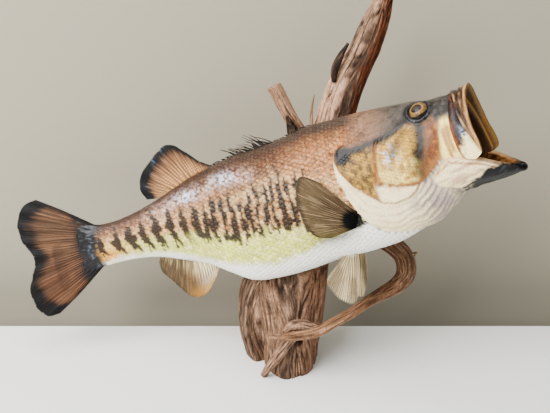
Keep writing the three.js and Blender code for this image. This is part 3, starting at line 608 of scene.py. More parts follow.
def painted_head(points, colour, soft, grain):
    """The head's colours, over those of the trunk."""
    place, height = points[..., 0], points[..., 1]
    head = ease(-0.3, 0.3, past_opening(place, height)) * (1 - ease(40, 46, height))
    inner = inside_cover(place, height)
    # the grey-brown crown
    front = ease(350, 388, place + 6 * soft)
    crown = ease(31, 41, height + 3 * soft) * ease(322, 350, place + 5 * soft)
    grey = mix(linear("7a5a46"), linear("48423c"), front[..., None])
    grey = mix(grey, grey * 0.55, ease(0.0, 0.5, noise(points, 5, seed=38, octaves=2))[..., None])
    # the membrane, the throat and its folds: lighter on the crests and darker in the creases as painted
    # shade, with painted lavender shade at the front and a painted shadow under the jaw
    crest, crease = folds(points)
    membrane = ease(0, 0.8, -inner) * head * (1 - ease(20, 30, height))
    rear = 1 - ease(352, 396, place)
    skin = mix(linear("847776"), MEMBRANE, np.clip(0.2 + 0.8 * rear + 0.35 * crest, 0, 1)[..., None])
    crease_shade = crease * mix(0.35, 0.8, ease(350, 410, place)) * ease(-0.6, 0.2, soft)
    specks = blot(points, 428, -41, 12, 8) * ease(-0.3, 0.2, soft + 0.6 * grain)
    under = blot(points, 436, -38, 14, 5)
    # the cheek and the gill cover, gold over tan
    plate = ease(0, 0.8, inner) * head
    mottle = ease(-0.05, 0.4, noise(points, 4.5, seed=39, octaves=3)) * ease(14, 24, height)
    net = noise(points, 3.2, seed=33)
    cover = ease(-3, 2.5, depth_in(place, height, COVER) + soft)
    cover_gold = mix(linear("584320"), COVER_GOLD, ease(-0.5, 0.25, net)[..., None])
    cover_gold = mix(cover_gold, CHEEK_GOLD, (0.7 * ease(0.15, 0.6, net + 0.3 * soft))[..., None])
    cheek = ease(-3, 2.5, depth_in(place, height, CHEEK) + soft)
    pale_share = np.clip(0.85 * (1 - ease(-8, 26, height)) * ease(-0.5, 0.5, net), 0, 1)
    cheek_gold = mix(CHEEK_GOLD, linear("e8d47c"), pale_share[..., None])
    cheek_gold = mix(cheek_gold, COVER_GOLD, (0.7 * ease(0.1, 0.6, -net))[..., None])
    # the pale lobe at the foot of the gill cover, and the red-brown seams
    lobe = ease(0, 2, level(LOBE_LINE, place) - height) * ease(347, 352, place)
    lobe = lobe * plate * (1 - ease(390, 394, place))
    line = groove(distance(place, height, LOBE_LINE) + 0.4 * grain, 1.3)
    seam = groove(distance(place, height, CHEEK_EDGE) + 0.4 * grain, 2.1)
    # the orange patch, the pale bone in front of it, and the snout
    patch = ease(-2, 2.5, depth_in(place, height, ORANGE_PATCH) + soft)
    orange = mix(linear("653411"), linear("925a20"), ease(0.0, 0.6, net)[..., None])
    pale = ease(-2, 3, depth_in(place, height, LACHRYMAL) + soft)
    streak = noise(points * np.array([1, 0.18, 1]), 2.4, seed=36)
    bone = mix(linear("f8e080"), linear("9a6430"), (0.85 * ease(-0.15, 0.5, streak))[..., None])
    snout = ease(417, 426, place) * ease(26, 33, height + 2 * soft)
    snout_grey = mix(linear("2b2826"), linear("3f3c39"), ease(0.1, 0.6, streak)[..., None])
    # smoky bars that run from the eye, and the spot on the gill cover
    fading = mix(1.0, 0.72, 1 - ease(-8, 14, height))
    smoke = 1.2 * grain + 2.0 * soft
    bars = fading * groove(distance(place, height, UNDER_EYE_BAR) + smoke, 7.4)
    bars = np.maximum(bars, 0.95 * groove(distance(place, height, EYE_BAND) + smoke, 4.6))
    bars = np.maximum(bars, 0.62 * groove(distance(place, height, SHORT_BAR) + smoke, 4.6))
    spot = groove(np.hypot((place - 323) / 9.5, (height - 30) / 9.5) + 0.1 * grain, 1.05)
    edge_shadow = groove(inner - 0.2, 0.9) * head * (1 - ease(24, 34, height))
    # the dark rim of the eye's socket, with a painted highlight line in it
    reach, flat = eye_reach(points)
    corner = np.abs(flat[..., 0]) / np.maximum(reach, 1e-6)
    rim = 1 - ease(11.6, 15.0, reach - 2.2 * corner + 0.6 * grain)
    colour = coats(
        colour,
        (grey, 0.97 * crown),
        (skin, membrane),
        ("e3bd8a", 0.4 * membrane * ease(-0.1, 0.6, soft + 0.5 * grain) * rear),
        # painted lavender shade on the front of the throat
        ("86757a", 0.6 * membrane * ease(-0.2, 0.5, -soft) * (1 - rear)),
        ("64504a", membrane * crease_shade),
        ("2a2023", 1.3 * specks),
        # painted shadow under the lower jaw
        ("3a3230", 0.6 * under * ease(-0.4, 0.4, grain)),
        ("8a5a30", plate * (1 - crown)),
        ("43352c", 0.6 * mottle * plate),
        ("a06a3c", 0.5 * ease(0.1, 0.5, soft) * plate * crown * (1 - front)),
        (cover_gold, cover * plate),
        (cheek_gold, cheek * plate),
        # a painted pale-blue highlight on the cheek
        (HIGHLIGHT_BLUE, 0.8 * blot(points, 372, 17, 8, 11) * ease(-0.3, 0.4, grain)),
        (MEMBRANE, lobe),
        ("c98a38", 0.7 * (lobe * blot(points, 372, -14.5, 15, 4.5)) * ease(-0.5, 0.2, grain + soft)),
        ("743d1f", 0.85 * line * plate),
        ("7d3f22", 0.8 * seam * plate),
        (orange, 0.95 * patch),
        (bone, pale),
        (snout_grey, snout),
        ("1f1913", 1.12 * bars),
        ("0a0907", ease(0.2, 0.55, spot)),
        ("7c5a3c", 0.55 * edge_shadow),
        ("181717", rim),
        ("6d7078", 0.5 * groove(reach - 12.2, 0.6) * ease(0.1, 0.6, grain)))
    for nostril_place, nostril_height, radius in NOSTRILS:
        hole = np.hypot(place - nostril_place, height - nostril_height)
        colour = coats(colour, ("0d0806", groove(hole, radius)))
    return colour


# ---------------------------------------------------------------- closed shells


def shell(rings, colours, ladder=False):
    """Closed rings, one after the other, skinned and capped: points in metres, faces, colours.

    A flat ring is capped by a ladder of quads, and a round one by a fan from its middle.
    """
    rows, columns = rings.shape[:2]
    points = rings.reshape(-1, 3)
    colours = colours.reshape(-1, 3)
    index = np.arange(rows * columns).reshape(rows, columns)
    after = np.roll(index, -1, axis=1)
    faces = np.stack([index[:-1], index[1:], after[1:], after[:-1]], -1).reshape(-1, 4).tolist()
    if ladder:
        half = columns // 2
        for ring, flip in ((index[0], False), (index[-1], True)):
            for i in range(half - 1):
                quad = [ring[i], ring[i + 1], ring[columns - 2 - i], ring[columns - 1 - i]]
                faces.append([int(v) for v in (quad[::-1] if flip else quad)])
    else:
        middles = np.stack([rings[0].mean(0), rings[-1].mean(0)])
        count = len(points)
        points = np.vstack([points, middles])
        colours = np.vstack([colours, colours[:columns].mean(0), colours[-columns:].mean(0)])
        for i in range(columns):
            j = (i + 1) % columns
            faces.append([count, int(index[0, i]), int(index[0, j])])
            faces.append([count + 1, int(index[-1, j]), int(index[-1, i])])
    return outward({"points": points, "faces": faces, "colours": colours})


def outward(piece):
    """The shell with its faces turned to point out of it."""
    volume = 0.0
    points = piece["points"]
    for size in (3, 4):
        faces = np.array([face for face in piece["faces"] if len(face) == size])
        if not len(faces):
            continue
        for k in range(1, size - 1):
            a, b, c = points[faces[:, 0]], points[faces[:, k]], points[faces[:, k + 1]]
            volume += np.sum(a * np.cross(b, c))
    if volume < 0:
        piece["faces"] = [face[::-1] for face in piece["faces"]]
    return piece


def give_paint(mesh, colours):
    """Keeps the paint on the mesh, and with it how much grain each colour carries."""
    paint = mesh.attributes.new("paint", "FLOAT_COLOR", "POINT")
    paint.data.foreach_set("color", np.hstack([colours, variety(colours)[:, None]]).ravel())


def in_scene(name, data):
    """An object of the given data at the origin, in the scene."""
    obj = bpy.data.objects.new(name, data)
    bpy.context.scene.collection.objects.link(obj)
    return obj


def piece_of(name, shells, material, nodes=(), unwrap=None):
    """One object of one or more closed shells, riding on the stand's only body."""
    count = 0
    faces = []
    for part in shells:
        faces.extend([[v + count for v in face] for face in part["faces"]])
        count += len(part["points"])
    points = np.vstack([part["points"] for part in shells])
    colours = np.vstack([part["colours"] for part in shells])
    mesh = bpy.data.meshes.new(name)
    mesh.from_pydata(points.tolist(), [], faces)
    mesh.update()
    give_paint(mesh, colours)
    if unwrap is not None:
        corners = np.zeros(len(mesh.loops), np.int64)
        mesh.loops.foreach_get("vertex_index", corners)
        layer = mesh.uv_layers.new(name="OFBake")
        layer.data.foreach_set("uv", unwrap[corners].ravel())
    mesh.polygons.foreach_set("use_smooth", np.ones(len(mesh.polygons), bool))
    mesh.materials.append(material)
    obj = in_scene(name, mesh)
    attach(obj, "root")
    if nodes:
        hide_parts(*nodes)


# ---------------------------------------------------------------- materials


def add(tree, kind, sockets=None, **settings):
    """A node with its settings, and each socket set to a number or linked to another socket."""
    made = tree.nodes.new(kind)
    for key, value in settings.items():
        setattr(made, key, value)
    for key, value in (sockets or {}).items():
        if isinstance(value, bpy.types.NodeSocket):
            tree.links.new(value, made.inputs[key])
        else:
            made.inputs[key].default_value = value
    return made


def painted_material(name, grain_mm, grain_depth, roughness, coat, bump_mm, bump, stretch=(1, 1, 1),
                     specular=0.14, translucence=0.0):
    """Paint under varnish: the brushed colours, a fine grain in them, and a fine bump."""
    material = bpy.data.materials.new(name)
    material.use_nodes = True
    tree = material.node_tree
    tree.nodes.clear()
    paint = add(tree, "ShaderNodeAttribute", attribute_name="paint")
    where = add(tree, "ShaderNodeTexCoord")
    scaled = add(tree, "ShaderNodeMapping", {"Vector": where.outputs["Object"], "Scale": stretch})
    speck = add(tree, "ShaderNodeTexNoise", {
        "Vector": scaled.outputs[0], "Scale": 1000 / grain_mm, "Detail": 3.0, "Roughness": 0.65})
    swing = add(tree, "ShaderNodeMapRange", {
        "Value": speck.outputs["Fac"], "From Min": 0.3, "From Max": 0.7,
        "To Min": -grain_depth, "To Max": grain_depth})
    gain = add(tree, "ShaderNodeMath", {0: swing.outputs[0], 1: paint.outputs["Alpha"], 2: 1.0},
               operation="MULTIPLY_ADD")
    toned = add(tree, "ShaderNodeVectorMath", {0: paint.outputs["Color"], "Scale": gain.outputs[0]},
                operation="SCALE")
    fine = add(tree, "ShaderNodeTexNoise", {
        "Vector": scaled.outputs[0], "Scale": 1000 / bump_mm, "Detail": 2.0})
    raised = add(tree, "ShaderNodeBump", {
        "Height": fine.outputs["Fac"], "Strength": bump, "Distance": bump_mm * MM})
    dull = add(tree, "ShaderNodeMapRange", {
        "Value": speck.outputs["Fac"], "From Min": 0.3, "From Max": 0.7,
        "To Min": roughness * 0.75, "To Max": roughness * 1.25})
    surface = add(tree, "ShaderNodeBsdfPrincipled", {
        "Base Color": toned.outputs[0], "Roughness": dull.outputs[0], "Normal": raised.outputs[0],
        "Coat Weight": coat, "Coat Roughness": 0.1, "Specular IOR Level": specular,
        "Subsurface Weight": translucence, "Subsurface Radius": (0.003, 0.0015, 0.001),
        "Subsurface Scale": 1.0})
    output = add(tree, "ShaderNodeOutputMaterial", {"Surface": surface.outputs[0]})
    output.is_active_output = True
    return material


# Painted fish skin under a clear lacquer: a grain of 1.5 mm from the airbrush, wet-looking glints.
LACQUERED_SKIN = painted_material(
    "airbrushed_skin_under_lacquer", grain_mm=1.5, grain_depth=0.3, roughness=0.32, coat=0.1,
    bump_mm=1.1, bump=0.3)
# Scales under the same lacquer, with a finer grain of 1 mm: each catches the light on its own.
LACQUERED_SCALES = painted_material(
    "airbrushed_scales_under_lacquer", grain_mm=1.0, grain_depth=0.45, roughness=0.32, coat=0.1,
    bump_mm=0.9, bump=0.25)
# Dried fin membrane: thin, waxy and a little see-through, with a grain of 1.2 mm.
DRIED_FIN = painted_material(
    "dried_fin_membrane", grain_mm=1.2, grain_depth=0.25, roughness=0.5, coat=0.02,
    bump_mm=0.8, bump=0.3, specular=0.08, translucence=0.05)
# Weathered driftwood: matt, with a grain 1.4 mm wide and four times as long.
DRIFTWOOD = painted_material(
    "weathered_driftwood", grain_mm=1.4, grain_depth=0.5, roughness=0.8, coat=0.0,
    bump_mm=0.9, bump=0.6, stretch=(1, 1, 0.25), specular=0.15)
# Painted glass eye: smooth and wet.
GLASS = painted_material(
    "painted_glass_eye", grain_mm=0.8, grain_depth=0.15, roughness=0.12, coat=0.06,
    bump_mm=1.0, bump=0.0, specular=0.12)

# ---------------------------------------------------------------- the skin


SKIN_COLUMNS = 228
TRUNK_ROWS, HEAD_ROWS, MOUTH_ROWS = 116, 124, 46
GILL_STEPS = (-1.1, -0.55, -0.15, 0.25, 0.7)  # finer rows at the gill opening
SCALED_FROM = 8  # the place where the scales begin; the skin between them is darker
THROAT_END = 373  # the mouth's hollow runs back to here


def main_skin():
    """Tail, trunk, head and the hollow of the mouth: one closed shell."""
    angles = circle(SKIN_COLUMNS)
    down = from_top(angles)
    gill = gill_place(angles)
    rim = mix(446.5, 437, ease(1.62, 1.85, down))
    rows = [mix(-21, gill - 1.7, share) for share in np.linspace(0, 1, TRUNK_ROWS)]
    rows += [gill + step for step in GILL_STEPS]
    rows += [mix(gill + 1.2, rim, share) for share in np.linspace(0, 1, HEAD_ROWS)]
    place = np.array(rows)
    angle = np.broadcast_to(angles, place.shape)
    bare, normal = form_and_normal(place, angle)
    outer = bare + normal * relief(bare)[..., None]
    outer_colour = painted(outer, angle)
    # the skin in the gaps between the scales is painted at half its colour, as painted shade
    scaled = (outer[..., 0] > SCALED_FROM) & (outer[..., 0] < gill - 1)
    outer_colour = np.where(scaled[..., None], outer_colour * 0.5, outer_colour)
    # the hollow runs back to the gullet, with low ribs round its roof
    cavity = np.array([mix(rim, THROAT_END, share) for share in np.linspace(0, 1, MOUTH_ROWS) ** 0.9])
    inner_angle = np.broadcast_to(angles, cavity.shape)
    floor_share = ease(1.35, 1.8, np.broadcast_to(down, cavity.shape))
    roof = section(MOUTH_ROOF, cavity, inner_angle)
    floor = section(MOUTH_FLOOR, cavity, inner_angle)
    height, side = [mix(roof[k], floor[k], floor_share) for k in (0, 1)]
    hollow = np.stack([cavity, height, side], -1)
    row = np.arange(MOUTH_ROWS)[:, None]
    ribs = 0.35 * np.sin(down * 26)[None, :] * ease(0, 8, row)
    hollow[..., 1:] *= (1 + ribs / 26)[..., None]
    # the lip turns over from the skin to the hollow
    lip = []
    for turn in (0.2, 0.5, 0.8):
        lip.append(mix(outer[-1], hollow[0], turn) + np.array([1.6 * math.sin(turn * math.pi), 0, 0]))
    lip_colour = np.broadcast_to(linear("8a6430"), np.shape(lip))
    # the hollow is painted darker deeper in, near black at the gullet, as painted shade, with ochre mottles
    # towards the lip
    deep = ease(0, MOUTH_ROWS, row) * np.ones(SKIN_COLUMNS)
    sheen_and_mottle = noise(hollow, 6, seed=41, octaves=2)
    inside = coats(primed("3c2818", hollow),
                   (OCHRE, ease(0, 0.8, sheen_and_mottle) * (1 - deep)),
                   ("0f0703", ease(0.1, 0.75, deep + 0.1 * sheen_and_mottle)))
    return shell(bend(np.concatenate([outer, lip, hollow])),
                 np.concatenate([outer_colour, lip_colour, inside]))


UPPER_JAW_END = 100.8  # degrees down from the top
HALF_JAW_ROWS, JAW_STEPS = 110, 40


def upper_jaw():
    """The horseshoe of the upper jaw: a lip bone, and the flat jaw bone that ends in a paddle."""
    share = np.sin(np.linspace(0, 1, HALF_JAW_ROWS) * math.pi / 2)
    degrees = np.concatenate([-share[::-1], share[1:]]) * UPPER_JAW_END
    down = np.abs(degrees)
    across = np.cos(np.linspace(math.pi, 0, JAW_STEPS))
    angle = np.radians(degrees)[:, None] * np.ones(JAW_STEPS)
    middle, half, split = [along(UPPER_JAW, column, down)[:, None] for column in (1, 2, 3)]

    def head_form(place, angle):
        return section(HEAD, place, angle)

    bare, normal = form_and_normal(middle + half * across, angle, head_form)
    rear = across - split
    width = np.maximum(split + 1, 0.05)
    paddle = np.sqrt(np.clip(1 - ((across - (split - 1) / 2) / (width / 2)) ** 2, 0, 1))
    crease = noise(bare * np.array([1.2, 0.16, 0.6]), 2.2, seed=51)
    fold = np.sin(rear * 10 + 1.5 * np.sin(down / 24)[:, None])
    outer = np.where(rear < 0, 0.3 + 1.6 * paddle, 0.5 + 0.75 * fold + 0.6 * crease)
    outer = outer + 1.1 * ease(0.72, 1, across) - 0.5 * groove(rear, 0.09)
    outer = outer * ease(0, 0.12, 1 - np.abs(across)) + 0.15 * crease
    top = bare + normal * outer[..., None]
    thick = 3.0 * np.minimum(1, half / 4) * (0.35 + 0.65 * ease(0, 0.5, 1 - np.abs(across)))
    under = bare - normal * thick[..., None]
    every = np.ones_like(angle)
    colour = upper_jaw_paint(bare, across * every, rear, np.abs(np.degrees(angle)), crease, fold)
    sheen_and_mottle = noise(under, 4, seed=52, octaves=2)
    inside = coats(primed("54402c", under),
                   (OCHRE, ease(-0.1, 0.5, sheen_and_mottle)),
                   ("2a211b", 0.8 * (1 - ease(-0.6, 0.3, across)) * every),
                   ("8a6224", 0.7 * ease(0.5, 0.95, across) * every))
    rings = np.concatenate([top, under[:, ::-1]], axis=1)
    return shell(bend(rings), np.concatenate([colour, inside[:, ::-1]], axis=1))


def upper_jaw_paint(points, across, rear, degrees, crease, fold):
    """Streaked brown and tan lip, darker in the troughs of its folds as painted shade, and a red-brown jaw
    bone that ends in cream, with a painted bluish highlight.
    """
    grain = noise(points, 1.6, seed=53)
    bone = (1 - ease(-0.06, 0.04, rear)) * ease(14, 30, degrees)
    red = mix(linear("120606"), linear("5c2a14"), ease(-0.3, 0.8, crease + grain)[..., None])
    # a painted bluish highlight on the jaw bone
    bone_highlight = bone * groove((degrees - 76) / 7, 1) * groove(rear + 0.24, 0.2)
    cream = ease(76, 88, degrees + 4 * grain + 12 * (across + 0.3)) * (1 - ease(-0.06, 0.1, rear))
    rear_rim = (1 - ease(-0.9, -0.6, across)) * ease(50, 70, degrees)
    return coats(
        primed("553922", points),
        ("1e120b", 0.92 * ease(-0.1, 0.35, crease + 0.25 * grain)),
        # lighter on the crests of the lip's folds, and darker in their troughs as painted shade
        ("b68f60", 0.6 * ease(0.2, 0.55, -crease) * ease(-0.1, 0.7, fold)),
        ("180f0a", 0.85 * ease(0.1, 0.8, -fold)),
        ("3a3029", 0.8 * (1 - ease(6, 30, degrees))),
        ("b98a54", 0.8 * ease(0.55, 0.8, across) * (1 - ease(0.9, 1, across))),
        (red, bone),
        ("0d0d12", 0.9 * bone * groove((degrees - 58) / 22, 1) * groove(rear + 0.28, 0.5)),
        ("b9cbe6", 0.95 * bone_highlight * ease(-0.5, 0.2, grain)),
        ("fbe8a8", cream),
        ("7d3f1c", 0.85 * rear_rim))


LOWER_JAW_STEPS = 74
CHIN_START, CHIN_LENGTH = 471, 4.3  # where the tip of the jaw begins to round off


def jaw_form(place, angle):
    """The head's own form at the back, which runs into the lower jaw's in front."""
    jaw = section(LOWER_JAW, place, angle)
    head = section(HEAD, place, angle, -COAT_DEPTH)
    share = ease(424, 442, place)
    return mix(head[0], jaw[0], share), mix(head[1], jaw[1], share)


def lower_jaw():
    """The boat of the lower jaw, with a rolled rim, its back end hidden in the head."""
    places = np.concatenate([np.linspace(404, 466, 66), np.linspace(466.8, 475.2, 16)])
    rim_height = level(JAW_RIM, places)
    top, bottom, middle, half, upper, lower = [along(LOWER_JAW, k, places) for k in range(1, 7)]
    over = rim_height > middle
    rise = (rim_height - middle) / np.where(over, top - middle, middle - bottom)
    power = np.where(over, upper, lower) / 2
    rim_angle = np.arccos(np.sign(rise) * np.abs(np.clip(rise, -1, 1)) ** power)
    share = np.linspace(0, 1, LOWER_JAW_STEPS)
    angle = rim_angle[:, None] + (2 * math.pi - 2 * rim_angle)[:, None] * share
    place = places[:, None] * np.ones(LOWER_JAW_STEPS)
    bare, normal = form_and_normal(place, angle, jaw_form)
    inside = depth_in(bare[..., 0], bare[..., 1], JAW_SIDE)
    stand = mix(-1.6, 0.9, ease(-0.6, 0.8, inside))
    stand = mix(stand, 0.0, ease(438, 452, place))
    wrinkle = noise(bare * np.array([0.25, 1, 1]), 3, seed=61, octaves=2)
    stand = stand + 0.3 * wrinkle + 0.5 * groove(share - 0.06, 0.03) + 0.5 * groove(share - 0.94, 0.03)
    outer = bare + normal * stand[..., None]
    wall = np.minimum(mix(1.6, 5.0, ease(428, 446, places)), 0.45 * half)[:, None]
    inner_angle = (rim_angle + 0.02)[:, None] + (2 * math.pi - 2 * rim_angle - 0.04)[:, None] * share
    inner_form, inner_normal = form_and_normal(place, inner_angle, jaw_form)
    inner = inner_form - inner_normal * wall[..., None]
    inner[..., 1] -= 0.8 * np.minimum(1, wall / 3)
    crest = np.array([0, 0.9, 0])
    crest_right = mix(outer[:, :1], inner[:, :1], 0.5) + crest
    crest_left = mix(outer[:, -1:], inner[:, -1:], 0.5) + crest
    rings = np.concatenate([outer, crest_left, inner[:, ::-1], crest_right], axis=1)
    round_off = np.sqrt(np.clip(1 - ((places - CHIN_START) / CHIN_LENGTH) ** 2, 0.03, 1))
    round_off = np.where(places > CHIN_START, round_off, 1)[:, None]
    middles = 0.5 * (rings[:, :, 1].max(1) + rings[:, :, 1].min(1))[:, None]
    rings[..., 1] = middles + (rings[..., 1] - middles) * round_off
    rings[..., 2] = rings[..., 2] * round_off
    return shell(bend(rings), lower_jaw_paint(rings))


def lower_jaw_paint(rings):
    """Cream at the corner and black towards the chin outside, and brown inside."""
    place, height = rings[..., 0], rings[..., 1]
    grain = noise(rings, 2, seed=62, octaves=2)
    streak = noise(rings * np.array([0.15, 1, 1]), 2.2, seed=63)
    below = level(JAW_RIM, place) - height
    black_line = np.interp(place, (425, 442, 450, 462), (30, 17, 8, 0.5))
    black = ease(-1.5, 2.5, below - black_line + 1.2 * grain + 2.0 * streak)
    colour = coats(
        primed("f4e0ae", rings),
        ("a97f68", 0.7 * ease(0.0, 0.5, streak)),
        ("8a5430", 0.95 * groove(below - 5.5 - 0.07 * (place - 430), 1.1)),
        ("c98f58", 0.7 * (1 - ease(1.5, 4, below)) * (1 - ease(440, 450, place))),
        ("5a351d", 0.85 * ((1 - ease(3.0, 5.5, below)) * ease(440, 450, place))),
        ("0a0a0d", black),
        (JAW_BLACK, ease(461, 468, place + 2 * grain)),
        ("4a4f5c", 0.35 * ease(0.2, 0.7, streak) * ease(440, 456, place) * black))
    lining = coats(
        primed("7a4f28", rings),
        ("38210f", ease(-0.2, 0.5, streak)),
        ("b98a58", 0.7 * (1 - ease(1.5, 4, below)) * (1 - ease(454, 462, place))),
        (JAW_BLACK, ease(464, 470, place + 2 * grain)))
    colour[:, LOWER_JAW_STEPS:] = lining[:, LOWER_JAW_STEPS:]
    return colour


TONGUE_ROWS, TONGUE_COLUMNS = 34, 40


def tongue():
    """A plain low tongue with a groove along its middle."""
    place = np.linspace(392, 444.6, TONGUE_ROWS)[:, None] * np.ones(TONGUE_COLUMNS)
    angle = circle(TONGUE_COLUMNS) * np.ones((TONGUE_ROWS, 1))
    height, side = section(TONGUE, place, angle)
    points = np.stack([place, height, side], -1)
    points[..., 1] -= 0.8 * groove(side, 1.4) * (height > -33)
    sheen_and_mottle = noise(points, 4, seed=71, octaves=2)
    return shell(bend(points), coats(primed("5a3a22", points), ("2c1a10", ease(-0.1, 0.6, sheen_and_mottle))))


FLESH = ("tail", "trunk_rear", "trunk_front", "head", "snout_right", "snout_left", "gill_cover_right",
         "gill_cover_left", "throat", "upper_jaw", "lower_jaw", "tongue")
piece_of("fish_skin", [main_skin(), upper_jaw(), lower_jaw(), tongue()], LACQUERED_SKIN,
         FLESH)

# ---------------------------------------------------------------- the scales

SCALE_LENGTH_STEPS = np.array([0.0, 0.42, 0.8, 1.0])  # root to free edge
SCALE_WIDTH_STEPS = np.array([-1.0, -0.38, 0.38, 1.0])
SCALE_OUTLINE = np.array([0.72, 1.0, 0.86, 0.36])  # half width at each length step
SCALE_LENGTH, SCALE_HALF_WIDTH = 1.75, 0.62  # of the pitch along and across, so the scales lap
SCALE_THICKNESS = 0.16
TAIL_SCALE = 0.62  # the size of the scales at the tail


def scale_lattice(start, end, pitch, row_pitch, full_size_from, keep):
    """Roots of scales in staggered columns, as place, angle and size, over both sides."""
    roots = []
    place = start
    column = 0
    samples = np.linspace(0.02, math.pi - 0.02, 240)
    while place < end:
        size = mix(TAIL_SCALE, 1, float(ease(20, full_size_from, place)))
        bare, _ = form_and_normal(np.full_like(samples, place), samples)
        run = run_of(bare)
        run -= np.interp(math.pi / 2, samples, run)
        step = row_pitch * size
        first = math.ceil(run[0] / step)
        count = int((run[-1] - first * step) / step) + 1
        runs = (first + np.arange(count) + (0.5 if column % 2 else 0)) * step
        runs = runs[runs < run[-1]]
        for angle in np.interp(runs, run, samples):
            roots += [(place, angle, size), (place, -angle, size)]
        place += pitch * size
        column += 1
    roots = np.array(roots)
    return roots[keep(roots)]


def scales(roots, pitch, row_pitch, lift, seed):
    """A thin closed shell for each root, lapped towards the tail; returns shell and unwrap."""
    count = len(roots)
    place, angle, size = roots.T[..., None]

    def chance(kind):
        cells = np.stack([np.arange(count), np.full(count, seed), np.full(count, kind)], -1)
        return lattice(cells, seed)[:, None]

    loose, tone = chance(7), chance(9)
    bare, _ = form_and_normal(place, angle)
    ahead, _ = form_and_normal(place, angle + 0.02)
    turn_per_mm = 0.02 / np.maximum(np.linalg.norm(ahead - bare, axis=-1), 1e-6)
    length = pitch * SCALE_LENGTH * size
    half = row_pitch * SCALE_HALF_WIDTH * size
    rows, columns = len(SCALE_LENGTH_STEPS), len(SCALE_WIDTH_STEPS)
    u = np.repeat(SCALE_LENGTH_STEPS, columns)
    v = np.tile(SCALE_WIDTH_STEPS, rows) * np.repeat(SCALE_OUTLINE, columns)
    curve = 0.22 * v * v
    turned = 0.16 * (tone - 0.5) * (v * (u - 0.3))
    at_place = place + (0.45 - u + curve * (u - 0.3) + turned) * length
    at_angle = angle + (v * half + 0.5 * (loose - 0.5)) * turn_per_mm
    form, normal = form_and_normal(at_place, at_angle)
    body = form + normal * relief(form)[..., None]
    rise = -0.28 + lift * u * (0.85 + 0.3 * loose) - 0.14 * v * v + 0.1 * (1 - v * v)
    rise = rise * size
    top = body + normal * rise[..., None]
    under = body + normal * (rise - SCALE_THICKNESS * size)[..., None]
    # each scale has its own tone, a dark free edge, and a painted highlight along its middle
    colour = painted(top, at_angle)
    swing = 0.4 * (tone - 0.5) - 0.32 * ease(0.7, 1.0, u) + 0.14 * (1 - v * v)
    colour = np.clip(colour * (1 + variety(colour) * swing)[..., None], 0, 1)
    # each has its own small patch of the unwrap, laid out by place and angle
    patch = np.stack([u - 0.5, v / 2], -1) * 0.003
    spot = np.stack([(place + 10) / 460, (angle / (2 * math.pi)) % 1], -1)
    unwrap = (spot + np.concatenate([patch, patch])).reshape(-1, 2)
    faces = scale_faces(rows, columns) + (np.arange(count) * 2 * rows * columns)[:, None, None]
    return {"points": bend(np.concatenate([top, under], axis=1)).reshape(-1, 3),
            "faces": faces.reshape(-1, 4).tolist(),
            "colours": np.concatenate([colour, colour], axis=1).reshape(-1, 3)}, unwrap


def scale_faces(rows, columns):
    """Quads of one scale: its top, its underside and its rim."""
    top = np.arange(rows * columns).reshape(rows, columns)
    low = top + rows * columns
    faces = []
    for i in range(rows - 1):
        for j in range(columns - 1):
            faces.append([top[i, j], top[i, j + 1], top[i + 1, j + 1], top[i + 1, j]])
            faces.append([low[i, j], low[i + 1, j], low[i + 1, j + 1], low[i, j + 1]])
    edge = list(top[0]) + list(top[1:, -1]) + list(top[-1, -2::-1]) + list(top[-2:0:-1, 0])
    for a, b in zip(edge, edge[1:] + edge[:1]):
        faces.append([b, a, a + rows * columns, b + rows * columns])
    return np.array(faces)[:, ::-1]


def on_trunk(roots):
    """Trunk and nape, up to the gill opening and the back of the eyes."""
    place, angle, _ = roots.T
    height, _ = flank(place, angle)
    nape = (height > 39) & (place < 352)
    return (place < gill_place(angle) - 1.2) | nape


def on_cheek(roots):
    """Cheek and gill cover, clear of their edges."""
    place, angle, _ = roots.T
    height, _ = flank(place, angle)
    return (depth_in(place, height, CHEEK) > 1.0) | (depth_in(place, height, COVER) > 1.0)


TRUNK_PITCH, TRUNK_ROW = 4.7, 5.3  # along the fish and round it
CHEEK_PITCH, CHEEK_ROW = 3.3, 3.7
trunk_roots = scale_lattice(9, 392, TRUNK_PITCH, TRUNK_ROW, 190, on_trunk)
cheek_roots = scale_lattice(312, 408, CHEEK_PITCH, CHEEK_ROW, 60, on_cheek)
for name, hand in (("scales_right", 1), ("scales_left", -1)):
    side_roots = trunk_roots[np.sign(trunk_roots[:, 1]) == hand]
    coat, unwrap = scales(side_roots, TRUNK_PITCH, TRUNK_ROW, lift=0.75, seed=81)
    piece_of(name, [coat], LACQUERED_SCALES, unwrap=unwrap)
coat, unwrap = scales(cheek_roots, CHEEK_PITCH, CHEEK_ROW, lift=0.6, seed=83)
piece_of("scales_cheeks", [coat], LACQUERED_SCALES, unwrap=unwrap)

# ---------------------------------------------------------------- the eyes

EYE_OVAL = (0.88, 1.2)  # the painted ring is wider than it is high
EYE_ROWS, EYE_COLUMNS = 40, 64


